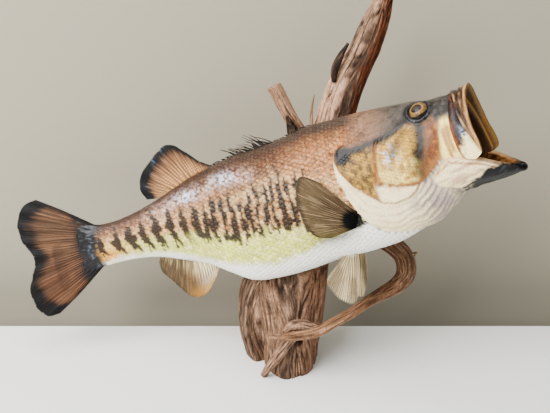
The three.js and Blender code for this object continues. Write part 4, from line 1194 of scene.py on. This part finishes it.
def eyeball(hand):
    """A lens of painted glass: dark pupil, gold ring, dark rim."""
    polar = np.linspace(0.02, math.pi - 0.02, EYE_ROWS)[:, None] * np.ones(EYE_COLUMNS)
    around = circle(EYE_COLUMNS) * np.ones((EYE_ROWS, 1))
    axis = eye_axis(hand)
    ahead = np.array([1.0, 0.0, 0.0])
    above = np.cross(axis, ahead)
    out = np.cos(polar)
    ring = np.sin(polar)
    bulge = EYE["depth"] * out + 0.7 * np.clip(out, 0, 1) ** 6
    points = (np.array([EYE["place"], EYE["height"], EYE["side"] * hand])
              + axis * bulge[..., None]
              + ahead * (EYE["radius"] * ring * np.cos(around))[..., None]
              + above * (EYE["radius"] * ring * np.sin(around))[..., None])
    oval = np.hypot(EYE_OVAL[0] * np.cos(around), EYE_OVAL[1] * np.sin(around))
    shown = np.where(out > 0, ring * oval, 1.0)
    thread = noise(np.stack([np.cos(around) * 40, np.sin(around) * 40, ring * 6], -1), 5, seed=91)
    past_pupil = shown - (0.5 + 0.03 * np.cos(around))
    gold = mix(linear("4a351d"), linear("7b5d36"), (0.5 + 0.5 * thread)[..., None])
    smoky = mix(linear("3a332e"), linear("17130f"), ease(0.1, 0.42, shown)[..., None])
    colour = coats(
        primed("131110", points),
        (gold, ease(0, 0.06, past_pupil) * (1 - ease(0.86, 0.93, shown + 0.02 * thread))),
        ("a97f47", 0.6 * groove(past_pupil - 0.07, 0.05)),
        (smoky, 1 - ease(-0.05, 0.02, past_pupil)))
    return shell(bend(points), colour)


for name, hand in (("eye_right", 1), ("eye_left", -1)):
    piece_of("glass_" + name, [eyeball(hand)], GLASS, [name])

# ---------------------------------------------------------------- the fins


def smooth_line(points, count):
    """Points spaced evenly by length along a smooth line through a few points."""
    points = np.array(points, float)
    padded = np.vstack([2 * points[0] - points[1], points, 2 * points[-1] - points[-2]])
    dense = []
    for i in range(1, len(padded) - 2):
        p0, p1, p2, p3 = padded[i - 1:i + 3]
        gaps = ((p0, p1), (p1, p2), (p2, p3))
        d0, d1, d2 = [max(np.linalg.norm(b - a) ** 0.5, 1e-6) for a, b in gaps]
        leave = ((p1 - p0) / d0 - (p2 - p0) / (d0 + d1) + (p2 - p1) / d1) * d1
        arrive = ((p2 - p1) / d1 - (p3 - p1) / (d1 + d2) + (p3 - p2) / d2) * d1
        t = np.linspace(0, 1, 60, endpoint=i == len(padded) - 3)[:, None]
        dense.append(p1 + t * leave + t * t * (3 * (p2 - p1) - 2 * leave - arrive)
                     + t ** 3 * (leave + arrive - 2 * (p2 - p1)))
    dense = np.vstack(dense)
    run = run_of(dense)
    wanted = np.linspace(0, run[-1], count)
    return np.stack([np.interp(wanted, run, dense[:, k]) for k in range(3)], -1)


# Each fin: its root and its edge from front to back as place, height and side; how many rays; its
# thickness at the root and the tip; how far it bows and lifts; how deep its torn edge is; how far its
# root is sunk in the body; and the scale of its streaks and of its clouds of colour.
CAUDAL = {
    "base": [(1, 27, 0), (5, 10, 0), (5, -9, 0), (2, -25, 0)],
    "tips": [(-62, 71, 0), (-77, 67.5, 0), (-86.5, 55, 0), (-91, 38, 0), (-87, 19, 0), (-79, 0, 0),
             (-86, -17, 0), (-93, -35, 0), (-90, -56, 0), (-78, -70, 0), (-63, -69, 0)],
    "rays": 18, "root": 3.2, "tip": 1.0, "bow": 1.5, "lift": 0, "ragged": 2.2, "root_depth": 7,
    "streaks": 34, "clouds": 14}
SOFT_DORSAL = {
    "base": [(158, 55, 0), (130, 49, 0), (99, 38, 0)],
    "tips": [(158, 62, 0), (145, 70, 0), (135, 79.5, 0), (126, 88.5, 0), (117, 96, 0), (107, 98.2, 0),
             (96, 93.5, 0), (85, 85.5, 0), (74, 75.5, 0), (67.5, 65, 0), (66.8, 52, 0), (71, 41, 0)],
    "rays": 13, "root": 2.6, "tip": 0.9, "bow": 0, "lift": 0, "ragged": 1.6, "root_depth": 3,
    "streaks": 24, "clouds": 11}
ANAL = {
    "base": [(140, -46, 0), (110, -36, 0), (76, -23, 0)],
    "tips": [(140, -53, 0), (134, -64, 0), (127, -73, 0), (118, -81, 0), (108, -84, 0), (99, -80.5, 0),
             (89, -69.5, 0), (80, -57.5, 0), (72, -46.5, 0), (69.5, -35, 0)],
    "rays": 12, "root": 2.4, "tip": 0.9, "bow": 0, "lift": 0, "ragged": 1.6, "root_depth": 3,
    "streaks": 22, "clouds": 9}
PECTORAL_RIGHT = {
    "base": [(321, -26, 42.5), (319, -33.5, 42), (314, -42, 40.5)],
    "tips": [(300, 1, 49), (288, 14, 52), (272, 21, 54), (265, 10, 56), (263, -8, 57), (264, -26, 56),
             (271, -40, 52), (286, -46, 46)],
    "rays": 14, "root": 4, "tip": 0.9, "bow": 0, "lift": 2.2, "ragged": 1.2, "root_depth": 0,
    "streaks": 26, "clouds": 9}


def mirrored(points):
    """The same points on the fish's other side."""
    return [(place, height, -side) for place, height, side in points]


PECTORAL_LEFT = {
    **PECTORAL_RIGHT,
    "base": mirrored(PECTORAL_RIGHT["base"]),
    "tips": [(300, 1, -46.5), (288, 13, -47), (273, 19, -47.5), (266, 9, -48.5), (264, -8, -49),
             (265, -25, -48), (272, -38, -45.5), (287, -44, -43)],
    "lift": -0.8}
PELVIC_RIGHT = {
    "base": [(301, -66, 14), (294, -66, 15.5), (287, -66, 17)],
    "tips": [(296, -94, 15), (290, -112, 16), (283.5, -120, 18), (274, -116, 21), (266, -104, 23),
             (262.5, -94, 24), (265, -86.5, 23), (276, -78.5, 20)],
    "rays": 9, "root": 3, "tip": 1, "bow": 0, "lift": 0, "ragged": 3.0, "root_depth": 3,
    "streaks": 16, "clouds": 9}
PELVIC_LEFT = {
    **PELVIC_RIGHT,
    "base": mirrored(PELVIC_RIGHT["base"]),
    "tips": mirrored(PELVIC_RIGHT["tips"])}


COLUMNS_PER_RAY, FIN_STEPS = 12, 50
JOINT_LENGTH = 2.4  # the little joints along each ray


def fin(shape, paint, seed):
    """A web of rays: ribs that fork twice towards the tips, and a scalloped, slightly torn edge."""
    columns = shape["rays"] * COLUMNS_PER_RAY + 1
    u = np.linspace(0, 1, columns)[:, None] * np.ones(FIN_STEPS)  # along the fin's root
    v = np.ones((columns, 1)) * np.linspace(0, 1, FIN_STEPS)  # out along its rays
    base = smooth_line(shape["base"], columns)[:, None]
    tips = smooth_line(shape["tips"], columns)[:, None]
    ray = u * shape["rays"]
    lone, forked, finest = [0.5 + 0.5 * np.cos(turns * math.pi * ray) for turns in (2, 4, 8)]
    rib = mix(mix(lone ** 2.0, forked ** 1.5, ease(0.15, 0.35, v)), finest, ease(0.5, 0.7, v))
    cells = np.stack([np.round(ray), np.full(u.shape, seed), np.zeros(u.shape)], -1)
    chance = lattice(cells.astype(int), seed)
    cut = shape["ragged"] * ((1 - rib) * (0.35 + 0.9 * chance) + 0.4 * chance)
    reach = np.linalg.norm(tips - base, axis=-1)
    shown = v * (1 - cut / reach * ease(0.5, 1, v))
    sunk = shape["root_depth"] * (1 - ease(0, 0.25, v))
    points = mix(base, tips, shown[..., None]) - (tips - base) / reach[..., None] * sunk[..., None]
    arch = np.sin(math.pi * v)
    points[..., 1] += shape["bow"] * arch * (1 - 2 * u)
    ripple = 0.5 * v * np.sin(math.pi * ray + seed) + 1.2 * v * noise(points, 22, seed=seed)
    points[..., 2] += shape["lift"] * arch + ripple * min(1, shape["tip"])
    joints = 1 + 0.16 * np.cos(2 * math.pi * v * reach / JOINT_LENGTH)
    thick = mix(shape["root"], shape["tip"], v) / 2 * (0.42 + 0.58 * rib * joints)
    thick = thick * ease(0, 0.04, 1.001 - v) ** 0.5 + 0.12
    # the thin streaks run out with the rays
    streaks = np.stack([u * shape["streaks"] * 5, v * 3, np.zeros_like(u)], -1)
    line = noise(streaks, 1.0, seed=seed, octaves=2)
    soft = noise(points, shape["clouds"], seed=seed + 1, octaves=2)
    colour = paint(points, u, v, rib, reach, line, soft, seed)
    outward_step = np.array([0, 0, 1]) * thick[..., None]
    rings = np.concatenate([points + outward_step, (points - outward_step)[:, ::-1]], axis=1)
    return shell(bend(rings), np.concatenate([colour, colour[:, ::-1]], axis=1), ladder=True)


def caudal_paint(points, u, v, rib, reach, line, soft, seed):
    """Brown, smoky, with black borders, a black edge and a black root."""
    smoke = noise(points * np.array([1, 0.5, 1]), 16, seed=seed + 2)
    corner = np.maximum(1 - ease(0, 0.3, u), ease(0.75, 1, u))
    margin = 1 - ease(8, 24, (1 - v) * reach + 7 * soft + 3.5 * line - 8 * corner)
    borders = 1 - ease(0.01, 0.07, np.minimum(u, 1 - u) + 0.03 * soft)
    root = 1 - ease(20, 46, v * reach + 9 * soft + 3 * line + 8 * np.abs(u - 0.5))
    return coats(
        mix(linear("45301f"), linear("4d311f"), ease(0.2, 0.8, u + 0.2 * soft)[..., None]),
        ("2f1c11", 0.75 * ease(-0.1, 0.5, -line) * (1 - 0.5 * rib)),
        ("8d6142", 0.42 * ease(0.05, 0.6, line)),
        ("120d0a", 0.6 * ease(0.0, 0.6, smoke) * ease(0.3, 0.8, v)),
        ("060607", np.maximum(margin, 0.85 * borders)),
        ("3a3733", 0.2 * margin * ease(0.45, 0.8, line)),
        ("100f11", root))


def dorsal_paint(points, u, v, rib, reach, line, soft, seed):
    """Tan with pale dashes along the rays, and a black edge with painted bluish highlights."""
    dash = 0.5 + 0.5 * np.cos(2 * math.pi * v * reach / 3.2)
    corners = 6 * ease(0.3, 0.8, u), 4 * (1 - ease(0, 0.3, u))
    margin = 1 - ease(3, 15, (1 - v) * reach + 4.5 * soft + 2.5 * line - corners[0] + corners[1])
    return coats(
        mix(linear("a36f42"), linear("6a4830"), ease(0.1, 0.75, v)[..., None]),
        ("e6bb80", rib * dash * (1 - ease(0.3, 0.7, v)) * 0.9),
        ("bd8d60", 0.45 * rib * ease(-0.2, 0.5, line)),
        ("2a1a10", 0.7 * (1 - rib) * ease(-0.3, 0.4, -line)),
        ("08090b", margin),
        # painted bluish highlights on the black edge
        ("4b6476", 0.5 * margin * ease(0.3, 0.75, soft + 0.5 * line)))


def anal_paint(points, u, v, rib, reach, line, soft, seed):
    """Cream rays in front, grey-brown behind, with a gold tip."""
    rear = ease(0.3, 0.6, u + 0.12 * soft)
    return coats(
        mix(linear("dcc084"), linear("70502a"), ease(0.05, 0.6, v)[..., None]),
        ("fff4d2", 0.9 * rib * (1 - ease(0.3, 0.7, u + 0.3 * v))),
        ("4a3218", 0.7 * (1 - rib) * ease(-0.3, 0.5, line)),
        ("3f362a", 0.9 * rear * ease(-0.9, 0.2, line)),
        ("8b7a63", 0.5 * rear * ease(0.1, 0.6, -line) * rib),
        ("b8802e", 0.5 * ease(0.6, 0.95, v) * (1 - ease(0.35, 0.6, u))),
        ("2c241b", 0.6 * (1 - ease(1, 5, (1 - v) * reach + 2 * soft)) * ease(0.3, 0.6, u)))


def pectoral_paint(points, u, v, rib, reach, line, soft, seed):
    """Dark brown with pale rays, olive below, and black where it grows from the body."""
    knob = np.hypot(points[..., 0] - 314, points[..., 1] + 34)
    return coats(
        mix(linear("4b3a29"), linear("57472f"), ease(0.2, 0.9, v)[..., None]),
        ("150c07", 0.9 * (1 - rib) * ease(-0.5, 0.2, line)),
        ("a58a66", 0.7 * ease(-0.1, 0.5, line) * rib),
        ("5b5122", 0.6 * ease(0.72, 0.98, u + 0.1 * soft)),
        ("1a120c", 0.7 * (1 - ease(1, 6, (1 - v) * reach + 2 * soft))),
        (JAW_BLACK, 1 - ease(8.5, 13.5, knob + 2.5 * line + soft)))


def pelvic_paint(points, u, v, rib, reach, line, soft, seed):
    """Straw with dark gaps and broad painted shade, and white at the root."""
    broad_shade = noise(np.stack([u * 6, v * 1.5, np.zeros_like(u)], -1), 1.0, seed=seed + 3)
    return coats(
        primed("97805a", points),
        ("e0d2a8", 0.65 * rib),
        ("3a342a", 0.85 * (1 - rib) * ease(-0.4, 0.3, line)),
        ("8a6430", 0.55 * ease(0, 0.6, soft) * ease(0.4, 0.9, v)),
        ("554838", 0.6 * ease(0.0, 0.45, broad_shade) * ease(0.15, 0.4, v)),
        (BELLY, 1 - ease(0.02, 0.16, v)))


for node_name, shape, paint, seed in (
        ("caudal_fin", CAUDAL, caudal_paint, 101),
        ("dorsal_fin_soft", SOFT_DORSAL, dorsal_paint, 103),
        ("anal_fin", ANAL, anal_paint, 105),
        ("pectoral_fin_right", PECTORAL_RIGHT, pectoral_paint, 107),
        ("pectoral_fin_left", PECTORAL_LEFT, pectoral_paint, 109),
        ("pelvic_fin_right", PELVIC_RIGHT, pelvic_paint, 111),
        ("pelvic_fin_left", PELVIC_LEFT, pelvic_paint, 113)):
    piece_of("dried_" + node_name, [fin(shape, paint, seed)], DRIED_FIN, [node_name])


ROD_SIDES = 8


def rod_tree():
    """A round rod along every line of a mesh, as thick as the line's own girth says, ends closed."""
    tree = bpy.data.node_groups.new("tapering_rods", "GeometryNodeTree")
    for name, kind in (("Lines", "Geometry"), ("Sides", "Int"), ("Thickness", "Float"),
                       ("Finish", "Material")):
        tree.interface.new_socket(name, in_out="INPUT", socket_type="NodeSocket" + kind)
    tree.interface.new_socket("Rods", in_out="OUTPUT", socket_type="NodeSocketGeometry")
    given = add(tree, "NodeGroupInput")
    girth = add(tree, "GeometryNodeInputNamedAttribute", {"Name": "girth"}, data_type="FLOAT")
    wide = add(tree, "ShaderNodeMath", {0: girth.outputs["Attribute"], 1: given.outputs["Thickness"]},
               operation="MULTIPLY")
    lines = add(tree, "GeometryNodeMeshToCurve", {"Mesh": given.outputs["Lines"]})
    ring = add(tree, "GeometryNodeCurvePrimitiveCircle", {
        "Resolution": given.outputs["Sides"], "Radius": 1.0})
    swept = add(tree, "GeometryNodeCurveToMesh", {
        "Curve": lines.outputs[0], "Profile Curve": ring.outputs[0], "Scale": wide.outputs[0],
        "Fill Caps": True})
    real = add(tree, "GeometryNodeRealizeInstances", {"Geometry": swept.outputs[0]})
    finished = add(tree, "GeometryNodeSetMaterial", {
        "Geometry": real.outputs[0], "Material": given.outputs["Finish"]})
    add(tree, "NodeGroupOutput", {"Rods": finished.outputs[0]})
    return tree


def rods_of(name, paths, girths, colour_of, material):
    """One object of tapering rods along paths in the fish's frame, drawn by the tree, then made plain."""
    points = np.array(paths).reshape(-1, 3)
    first = np.arange(len(points)).reshape(-1, len(paths[0]))
    edges = np.stack([first[:, :-1], first[:, 1:]], -1).reshape(-1, 2)
    lines = bpy.data.meshes.new(name + "_lines")
    lines.from_pydata(bend(points).tolist(), edges.tolist(), [])
    girth = lines.attributes.new("girth", "FLOAT", "POINT")
    girth.data.foreach_set("value", np.ravel(girths) * MM)
    give_paint(lines, colour_of(points))
    obj = in_scene(name, lines)
    tree = rod_tree()
    modifier = obj.modifiers.new("rods", "NODES")
    modifier.node_group = tree
    values = {"Sides": ROD_SIDES, "Thickness": 1.0, "Finish": material}
    for socket in tree.interface.items_tree:
        if socket.name in values:
            modifier[socket.identifier] = values[socket.name]
    drawn = obj.evaluated_get(bpy.context.evaluated_depsgraph_get())
    plain = bpy.data.meshes.new_from_object(drawn)
    obj.modifiers.clear()
    obj.data = plain
    plain.name = name
    plain.polygons.foreach_set("use_smooth", np.ones(len(plain.polygons), bool))
    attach(obj, "root")


SPINE_BUNCHES = (  # rear and front place of the feet, count, how far they lie back, how high they stand
    (188, 212, 9, 22, 11), (210, 236, 12, 27, 18), (160, 186, 9, 8, 2), (240, 284, 13, 8, 2))
SPINE_STEPS, WEB_ROWS = 12, 6
SPINE_GIRTH = (0.95, 0.2)  # at the foot and at the tip


def spiny_dorsal():
    """The torn, folded spiny fin: paths of thin spines lying back, and rags of web between them."""
    webs = []
    spines = []
    t = np.linspace(0, 1, SPINE_STEPS)
    for bunch, (rear, front, count, lean, rise) in enumerate(SPINE_BUNCHES):
        paths = []
        for i in range(count):
            chance = lattice(np.array([[i, bunch, k] for k in range(4)]), 127)
            place = mix(rear, front, i / (count - 1)) + 2 * (chance[0] - 0.5)
            ridge = float(along(BODY, 1, place))
            stand = rise * (0.45 + 0.75 * chance[1])
            foot = np.array([place, ridge - 2.5, 1.5 * (chance[2] - 0.5)])
            back = lean * (0.6 + 0.5 * chance[3])
            down = float(along(BODY, 1, place - back)) - ridge
            tip = foot + np.array([-back, 2.5 + stand + 0.7 * down, -0.35 * stand])
            bow = np.array([0, 1.6, 0]) * np.sin(math.pi * t[:, None])
            paths.append(mix(foot, tip, t[:, None]) + bow)
        spines += paths
        for i in range(count - 1):
            rows = []
            for k, share in enumerate(np.linspace(0, 1, WEB_ROWS)):
                keep = 0.7 - 0.4 * math.sin(math.pi * share) + 0.15 * math.sin(9 * i + 5 * k)
                near, far = [np.stack([np.interp(t * keep, t, path[:, c]) for c in range(3)], -1)
                             for path in paths[i:i + 2]]
                rows.append(mix(near, far, share))
            web = np.array(rows)
            thin = np.array([0, 0, 0.2])
            rings = np.concatenate([web + thin, (web - thin)[:, ::-1]], axis=1)
            webs.append(shell(bend(rings), spine_paint(rings), ladder=True))
    return webs, spines


def spine_paint(points):
    """Nearly black, with a brown grain."""
    return coats(primed("17130f", points),
                 ("44392e", ease(0, 0.7, noise(points, 2.5, seed=121, octaves=2))))


webs, spines = spiny_dorsal()
piece_of("dried_dorsal_fin_spiny", webs, DRIED_FIN, ["dorsal_fin_spiny"])
taper = mix(*SPINE_GIRTH, np.linspace(0, 1, SPINE_STEPS) ** 0.8)
rods_of("dried_dorsal_spines", spines, [taper] * len(spines), spine_paint, DRIED_FIN)

# ---------------------------------------------------------------- the driftwood, mm in the stand's frame

# Level sections: height, middle in x and y, and half width and half depth.
WOOD = np.array([
    (0, 8, 13, 33, 57), (18, 8, 13, 34, 56), (45, 8, 14, 38, 54), (75, 8, 18, 42, 49),
    (100, 10, 26, 44, 43), (122, 15, 36, 42, 37), (150, 25, 54, 33, 27), (175, 31, 63, 28, 21),
    (205, 38, 66, 25, 18), (240, 48, 66, 24, 18), (275, 59, 65, 24, 18), (310, 68, 64, 23.5, 18),
    (335, 78, 63, 22.5, 17), (356, 89, 62, 20, 16), (390, 101, 62, 17, 13), (409, 107.5, 62, 12, 10),
    (426, 112, 62, 8, 7)])
LOBE = np.array([
    (0, -28, 28, 20, 37), (30, -32, 26, 22, 38), (60, -33, 26, 22, 38), (85, -30, 28, 22, 36),
    (105, -20, 34, 22, 32), (126, -6, 40, 16, 24)])
# Limbs: points along the middle, and the girth's half width by the share of the way along.
BRANCH = {
    "path": [(44, 56, 140), (82, 44, 149), (112, 24, 146), (128, 15, 138.5), (138, 10, 129), (141, 5, 119),
             (139, 0, 108.5), (130, -5, 100), (113, -15, 95), (94, -25, 89), (75, -35, 80.6), (57, -42, 74),
             (35, -49, 65), (6, -51, 61), (-20, -50, 60)],
    "girth": [(0, 14), (0.15, 13), (0.3, 12.4), (0.42, 12), (0.5, 9.8), (0.62, 7.2), (0.85, 6.4),
              (0.93, 5.4), (1, 1.6)]}
SPUR = {"path": [(138, 8, 128), (146, 7, 131), (153, 6, 136)], "girth": [(0, 6), (0.6, 3.4), (1, 1.2)]}
STUB = {"path": [(46, 66, 222), (21, 62, 262), (3, 60, 290), (-12, 60, 317)],
        "girth": [(0, 9), (0.5, 8.5), (1, 9)]}
SPLINTER = {"path": [(56, 52, 322), (56, 50, 336), (63, 50, 352), (70, 52, 364)],
            "girth": [(0, 3), (0.4, 5), (1, 2)]}
SHARD = {"path": [(34, 50, 244), (14, 48, 262), (3, 48, 285)], "girth": [(0, 8), (0.6, 8), (1, 3)]}
TWIG = {"path": [(40, 56, 262), (32, 52, 275), (32, 56, 290), (34.5, 58, 308)],
        "girth": [(0, 2.4), (0.5, 2), (1, 0.8)]}
ROOT = {"path": [(14, -42, 62), (-2, -44, 40), (-14, -42, 20), (-23, -36, 1)],
        "girth": [(0, 7), (0.6, 6), (1, 4)]}
BURL = {"path": [(0, -38, 60), (10, -42, 68), (20, -44, 70), (32, -44, 67), (46, -43, 66)],
        "girth": [(0, 3), (0.3, 7), (0.6, 7.5), (1, 4)]}
KNOT_HOLE = np.array([17, -43, 45])  # at the front of the trunk
KNOT_SIZE = np.array([6, 14, 8])
KNOT_DEPTH = 9
WOOD_DARK = linear("0c0503")


def grain_lines(around, run, girth, seed, width=5.0, length=70.0):
    """The cracks from 0 to 1, the fine grain and the broad swell from -1 to 1, following the wood."""
    warp = 0.35 * noise(np.stack([np.cos(around) * 2, np.sin(around) * 2, run / 60], -1), 1, seed=seed)
    turn = around + warp
    ring = np.stack([np.cos(turn) * girth, np.sin(turn) * girth, run / length * width], -1)
    coarse = noise(ring, width, seed=seed + 1, octaves=2)
    in_places = ease(-0.3, 0.2, noise(ring, width * 2.4, seed=seed + 4))
    crack = (1 - ease(0.0, 0.12, np.abs(coarse))) * in_places
    fine = noise(ring * np.array([1, 1, 1.6]), width * 0.3, seed=seed + 2, octaves=2)
    swell = noise(ring, width * 3.2, seed=seed + 3)
    return crack, fine, swell


def wood_paint(points, crack, fine, swell, red=0.0, pale=0.0, tan=0.0):
    """Brown wood with shares of red, pale and tan, dark in its grain, and near black in its cracks as
    painted shade.
    """
    grain = noise(points * np.array([1, 1, 0.2]), 3, seed=131, octaves=2)
    return coats(
        primed("48362a", points),
        ("7a5539", tan),
        ("5e2c14", red * ease(-0.5, 0.5, swell + grain)),
        ("c2987a", np.clip(pale + 0.4 * ease(0.1, 0.6, fine), 0, 1) * (1 - 0.6 * red)),
        ("24150d", 0.8 * ease(0.0, 0.45, -fine)),
        (WOOD_DARK, 0.9 * crack))


def bole(table, rows, columns, depth, seed, paint):
    """Level sections of trunk and stem, cut by long cracks."""
    height = np.linspace(table[0, 0], table[-1, 0], rows)[:, None] * np.ones(columns)
    angle = circle(columns) * np.ones((rows, 1))
    x, y, wide, deep = [along(table, k, height) for k in range(1, 5)]
    size = 1 + 0.03 * np.cos(3 * angle + 0.6 + height / 90) + 0.02 * np.cos(7 * angle + height / 25)
    crack, fine, swell = grain_lines(angle, height, (wide + deep) / 2, seed)
    inward = depth * (0.6 * crack + 0.16 * (0.5 - 0.5 * fine) + 0.4 * (0.5 - 0.5 * swell))
    out_x = (wide * size - inward) * np.cos(angle)
    out_y = (deep * size - inward) * np.sin(angle)
    points = np.stack([x + out_x, y + out_y, height], -1)
    sunk = 1 - ease(0.5, 1.05, np.linalg.norm((points - KNOT_HOLE) / KNOT_SIZE, axis=-1))
    points[..., 1] += KNOT_DEPTH * sunk
    # the sunk knot hole is painted near black inside, as painted shade
    return shell(points * MM, coats(paint(points, crack, fine, swell), (WOOD_DARK, sunk)))


def trunk_paint(points, crack, fine, swell):
    """The stem is pale on its left and red on its right, and the foot is browner."""
    up = points[..., 2]
    beside = (points[..., 0] - along(WOOD, 1, up)) / along(WOOD, 3, up)
    stem = ease(130, 220, up)
    red = stem * ease(-0.3, 0.5, beside) + (1 - stem) * 0.45 * ease(0.1, 0.8, beside)
    pale = 0.8 * stem * ease(-0.1, 0.4, -beside) * (1 - 0.7 * ease(320, 380, up))
    pale = pale + 0.15 * (1 - stem) * ease(-0.2, 0.5, swell)
    return wood_paint(points, crack, fine, swell, red, pale, tan=0.4 * ease(0, 0.5, swell))


def lobe_paint(points, crack, fine, swell):
    """Plain brown wood with a little of everything."""
    return wood_paint(points, crack, fine, swell, 0.25 * ease(0, 0.5, swell),
                      0.35 * ease(-0.3, 0.5, swell), 0.3 * ease(0, 0.5, -swell))


LIMB_FLATNESS = 0.9


def limb(shape, rows, columns, depth, seed, paint):
    """A branch along its path, with cracks that follow it."""
    path = smooth_line(shape["path"], rows)
    share = np.linspace(0, 1, rows)
    girth = along(np.array(shape["girth"]), 1, share)
    forward = np.gradient(path, axis=0)
    forward /= np.linalg.norm(forward, axis=1, keepdims=True)
    angle = circle(columns)
    lengthwise = run_of(path)[:, None] * np.ones(columns)
    crack, fine, swell = grain_lines(angle * np.ones((rows, 1)), lengthwise, girth[:, None], seed,
                                     width=3.4, length=90.0)
    inward = depth * (0.7 * crack + 0.25 * (0.5 - 0.5 * fine) + 0.3 * (0.5 - 0.5 * swell))
    side = np.cross(forward[0], [0.2, 0.9, 0.3])
    rings = []
    for i in range(rows):
        side = side - forward[i] * (side @ forward[i])
        side /= np.linalg.norm(side)
        other = np.cross(forward[i], side)
        size = np.maximum(girth[i] * (1 + 0.07 * np.cos(3 * angle + 9 * share[i])) - inward[i], 0.3)
        rings.append(path[i] + (size * np.cos(angle))[:, None] * side
                     + (size * LIMB_FLATNESS * np.sin(angle))[:, None] * other)
    rings = np.array(rings)
    return shell(rings * MM, paint(rings, crack, fine, swell, share[:, None] * np.ones(columns)))


def branch_paint(points, crack, fine, swell, share):
    """Red-brown at the hook, and bare tan wood along the arm."""
    hook = groove(share - 0.36, 0.13)
    return wood_paint(points, crack, fine, swell, 0.3 * hook, 0.3 * ease(-0.3, 0.5, swell),
                      0.5 * hook + 0.8 * ease(0.42, 0.55, share))


def tan_paint(points, crack, fine, swell, share):
    """Bare tan wood, a little redder towards its tip."""
    return wood_paint(points, 0.8 * crack, fine, swell, 0.1 * share, 0.3 + 0.2 * swell, 0.9)


def dark_paint(points, crack, fine, swell, share):
    """Nearly black wood."""
    return wood_paint(points, crack, fine, swell) * 0.35


def root_paint(points, crack, fine, swell, share):
    """Red-brown wood with pale grain."""
    return wood_paint(points, crack, fine, swell, red=0.3, pale=0.35)


# Each piece's forms, with their rows, columns, depth of cracks, seed and paint, and what it replaces.
for name, forms, nodes in (
        ("bole", [
            bole(WOOD, 210, 270, 4.6, 141, trunk_paint),
            bole(LOBE, 80, 150, 4.0, 143, lobe_paint),
            limb(BURL, 60, 60, 1.8, 157, root_paint),
            limb(ROOT, 60, 40, 1.6, 145, root_paint),
            limb(SPLINTER, 40, 24, 1.2, 147, dark_paint)], ("trunk", "stem")),
        ("branch", [
            limb(BRANCH, 300, 84, 2.4, 149, branch_paint),
            limb(SPUR, 24, 20, 0.6, 159, root_paint)], ("branch_root", "branch_hook", "branch_arm")),
        ("broken_stub", [limb(STUB, 90, 60, 1.8, 151, tan_paint)], ("stub",)),
        ("dark_shard", [limb(SHARD, 60, 40, 3.0, 153, dark_paint)], ("shard",)),
        ("thin_twig", [limb(TWIG, 50, 18, 0.5, 155, tan_paint)], ("twig",))):
    piece_of("driftwood_" + name, forms, DRIFTWOOD, ["driftwood_" + node for node in nodes])

# ---------------------------------------------------------------- floor, light and camera


def plain_material(name, colour, roughness):
    """A matt board or cloth of one colour, for the floor and the backdrop only."""
    material = bpy.data.materials.new(name)
    material.use_nodes = True
    surface = material.node_tree.nodes["Principled BSDF"]
    surface.inputs["Base Color"].default_value = (*linear(colour), 1)
    surface.inputs["Roughness"].default_value = roughness
    return material


def one_sided(material):
    """The wall shows from the front, and from behind it doesn't hide the object."""
    tree = material.node_tree
    side = add(tree, "ShaderNodeNewGeometry")
    clear = add(tree, "ShaderNodeBsdfTransparent")
    seen = tree.nodes["Principled BSDF"].outputs[0]
    either = add(tree, "ShaderNodeMixShader", {
        0: side.outputs["Backfacing"], 1: seen, 2: clear.outputs[0]})
    tree.links.new(either.outputs[0], tree.nodes["Material Output"].inputs["Surface"])
    return material


def sheet(name, corners, material):
    """One flat sheet of the stage."""
    mesh = bpy.data.meshes.new(name)
    mesh.from_pydata(corners, [], [(0, 1, 2, 3)])
    mesh.materials.append(material)
    in_scene(name, mesh)


STAGE_REACH = 3
TABLE_EDGE, WALL_PLACE = 0.075, 0.17
WALL_FOOT = -1
sheet("floor", [(-STAGE_REACH, -STAGE_REACH, 0), (STAGE_REACH, -STAGE_REACH, 0),
                (STAGE_REACH, TABLE_EDGE, 0), (-STAGE_REACH, TABLE_EDGE, 0)],
      plain_material("matt_white_board", "f0f1ef", 0.6))
sheet("backdrop", [(-STAGE_REACH, WALL_PLACE, WALL_FOOT), (STAGE_REACH, WALL_PLACE, WALL_FOOT),
                   (STAGE_REACH, WALL_PLACE, STAGE_REACH), (-STAGE_REACH, WALL_PLACE, STAGE_REACH)],
      one_sided(plain_material("matt_grey_backdrop", "958e7c", 0.9)))


def soft_light(name, place, target, size, power, colour):
    """A round soft light that looks at a point of the object."""
    light = bpy.data.lights.new(name, "AREA")
    light.shape = "DISK"
    light.size = size
    light.energy = power
    light.color = colour
    lamp = in_scene(name, light)
    lamp.location = place
    way = np.array(target) - np.array(place)
    yaw = math.atan2(way[1], way[0]) - math.pi / 2
    pitch = math.atan2(way[2], math.hypot(way[0], way[1])) + math.pi / 2
    lamp.rotation_euler = (pitch, 0, yaw)


MIDDLE = (0, 0, 0.2)
soft_light("window_left", (-1.3, -1.0, 1.25), MIDDLE, size=1.7, power=112, colour=(1.0, 0.985, 0.96))
soft_light("fill_right", (1.1, -1.5, 0.5), (0.05, 0, 0.2), size=1.6, power=10, colour=(0.94, 0.97, 1.0))
soft_light("top", (-0.1, -0.4, 1.7), MIDDLE, size=1.4, power=24, colour=(1.0, 1.0, 1.0))

world = bpy.data.worlds.new("room")
world.use_nodes = True
world.node_tree.nodes["Background"].inputs["Color"].default_value = (0.8, 0.82, 0.85, 1)
world.node_tree.nodes["Background"].inputs["Strength"].default_value = 0.16
bpy.context.scene.world = world

CAMERA_PLACE = (-0.010, -0.576, 0.380)
CAMERA_TILT = 72  # degrees from straight down
camera_data = bpy.data.cameras.new("camera")
camera_data.lens = 36
camera_data.sensor_width = 36
camera = in_scene("camera", camera_data)
camera.location = CAMERA_PLACE
camera.rotation_euler = (math.radians(CAMERA_TILT), 0, 0)
bpy.context.scene.camera = camera
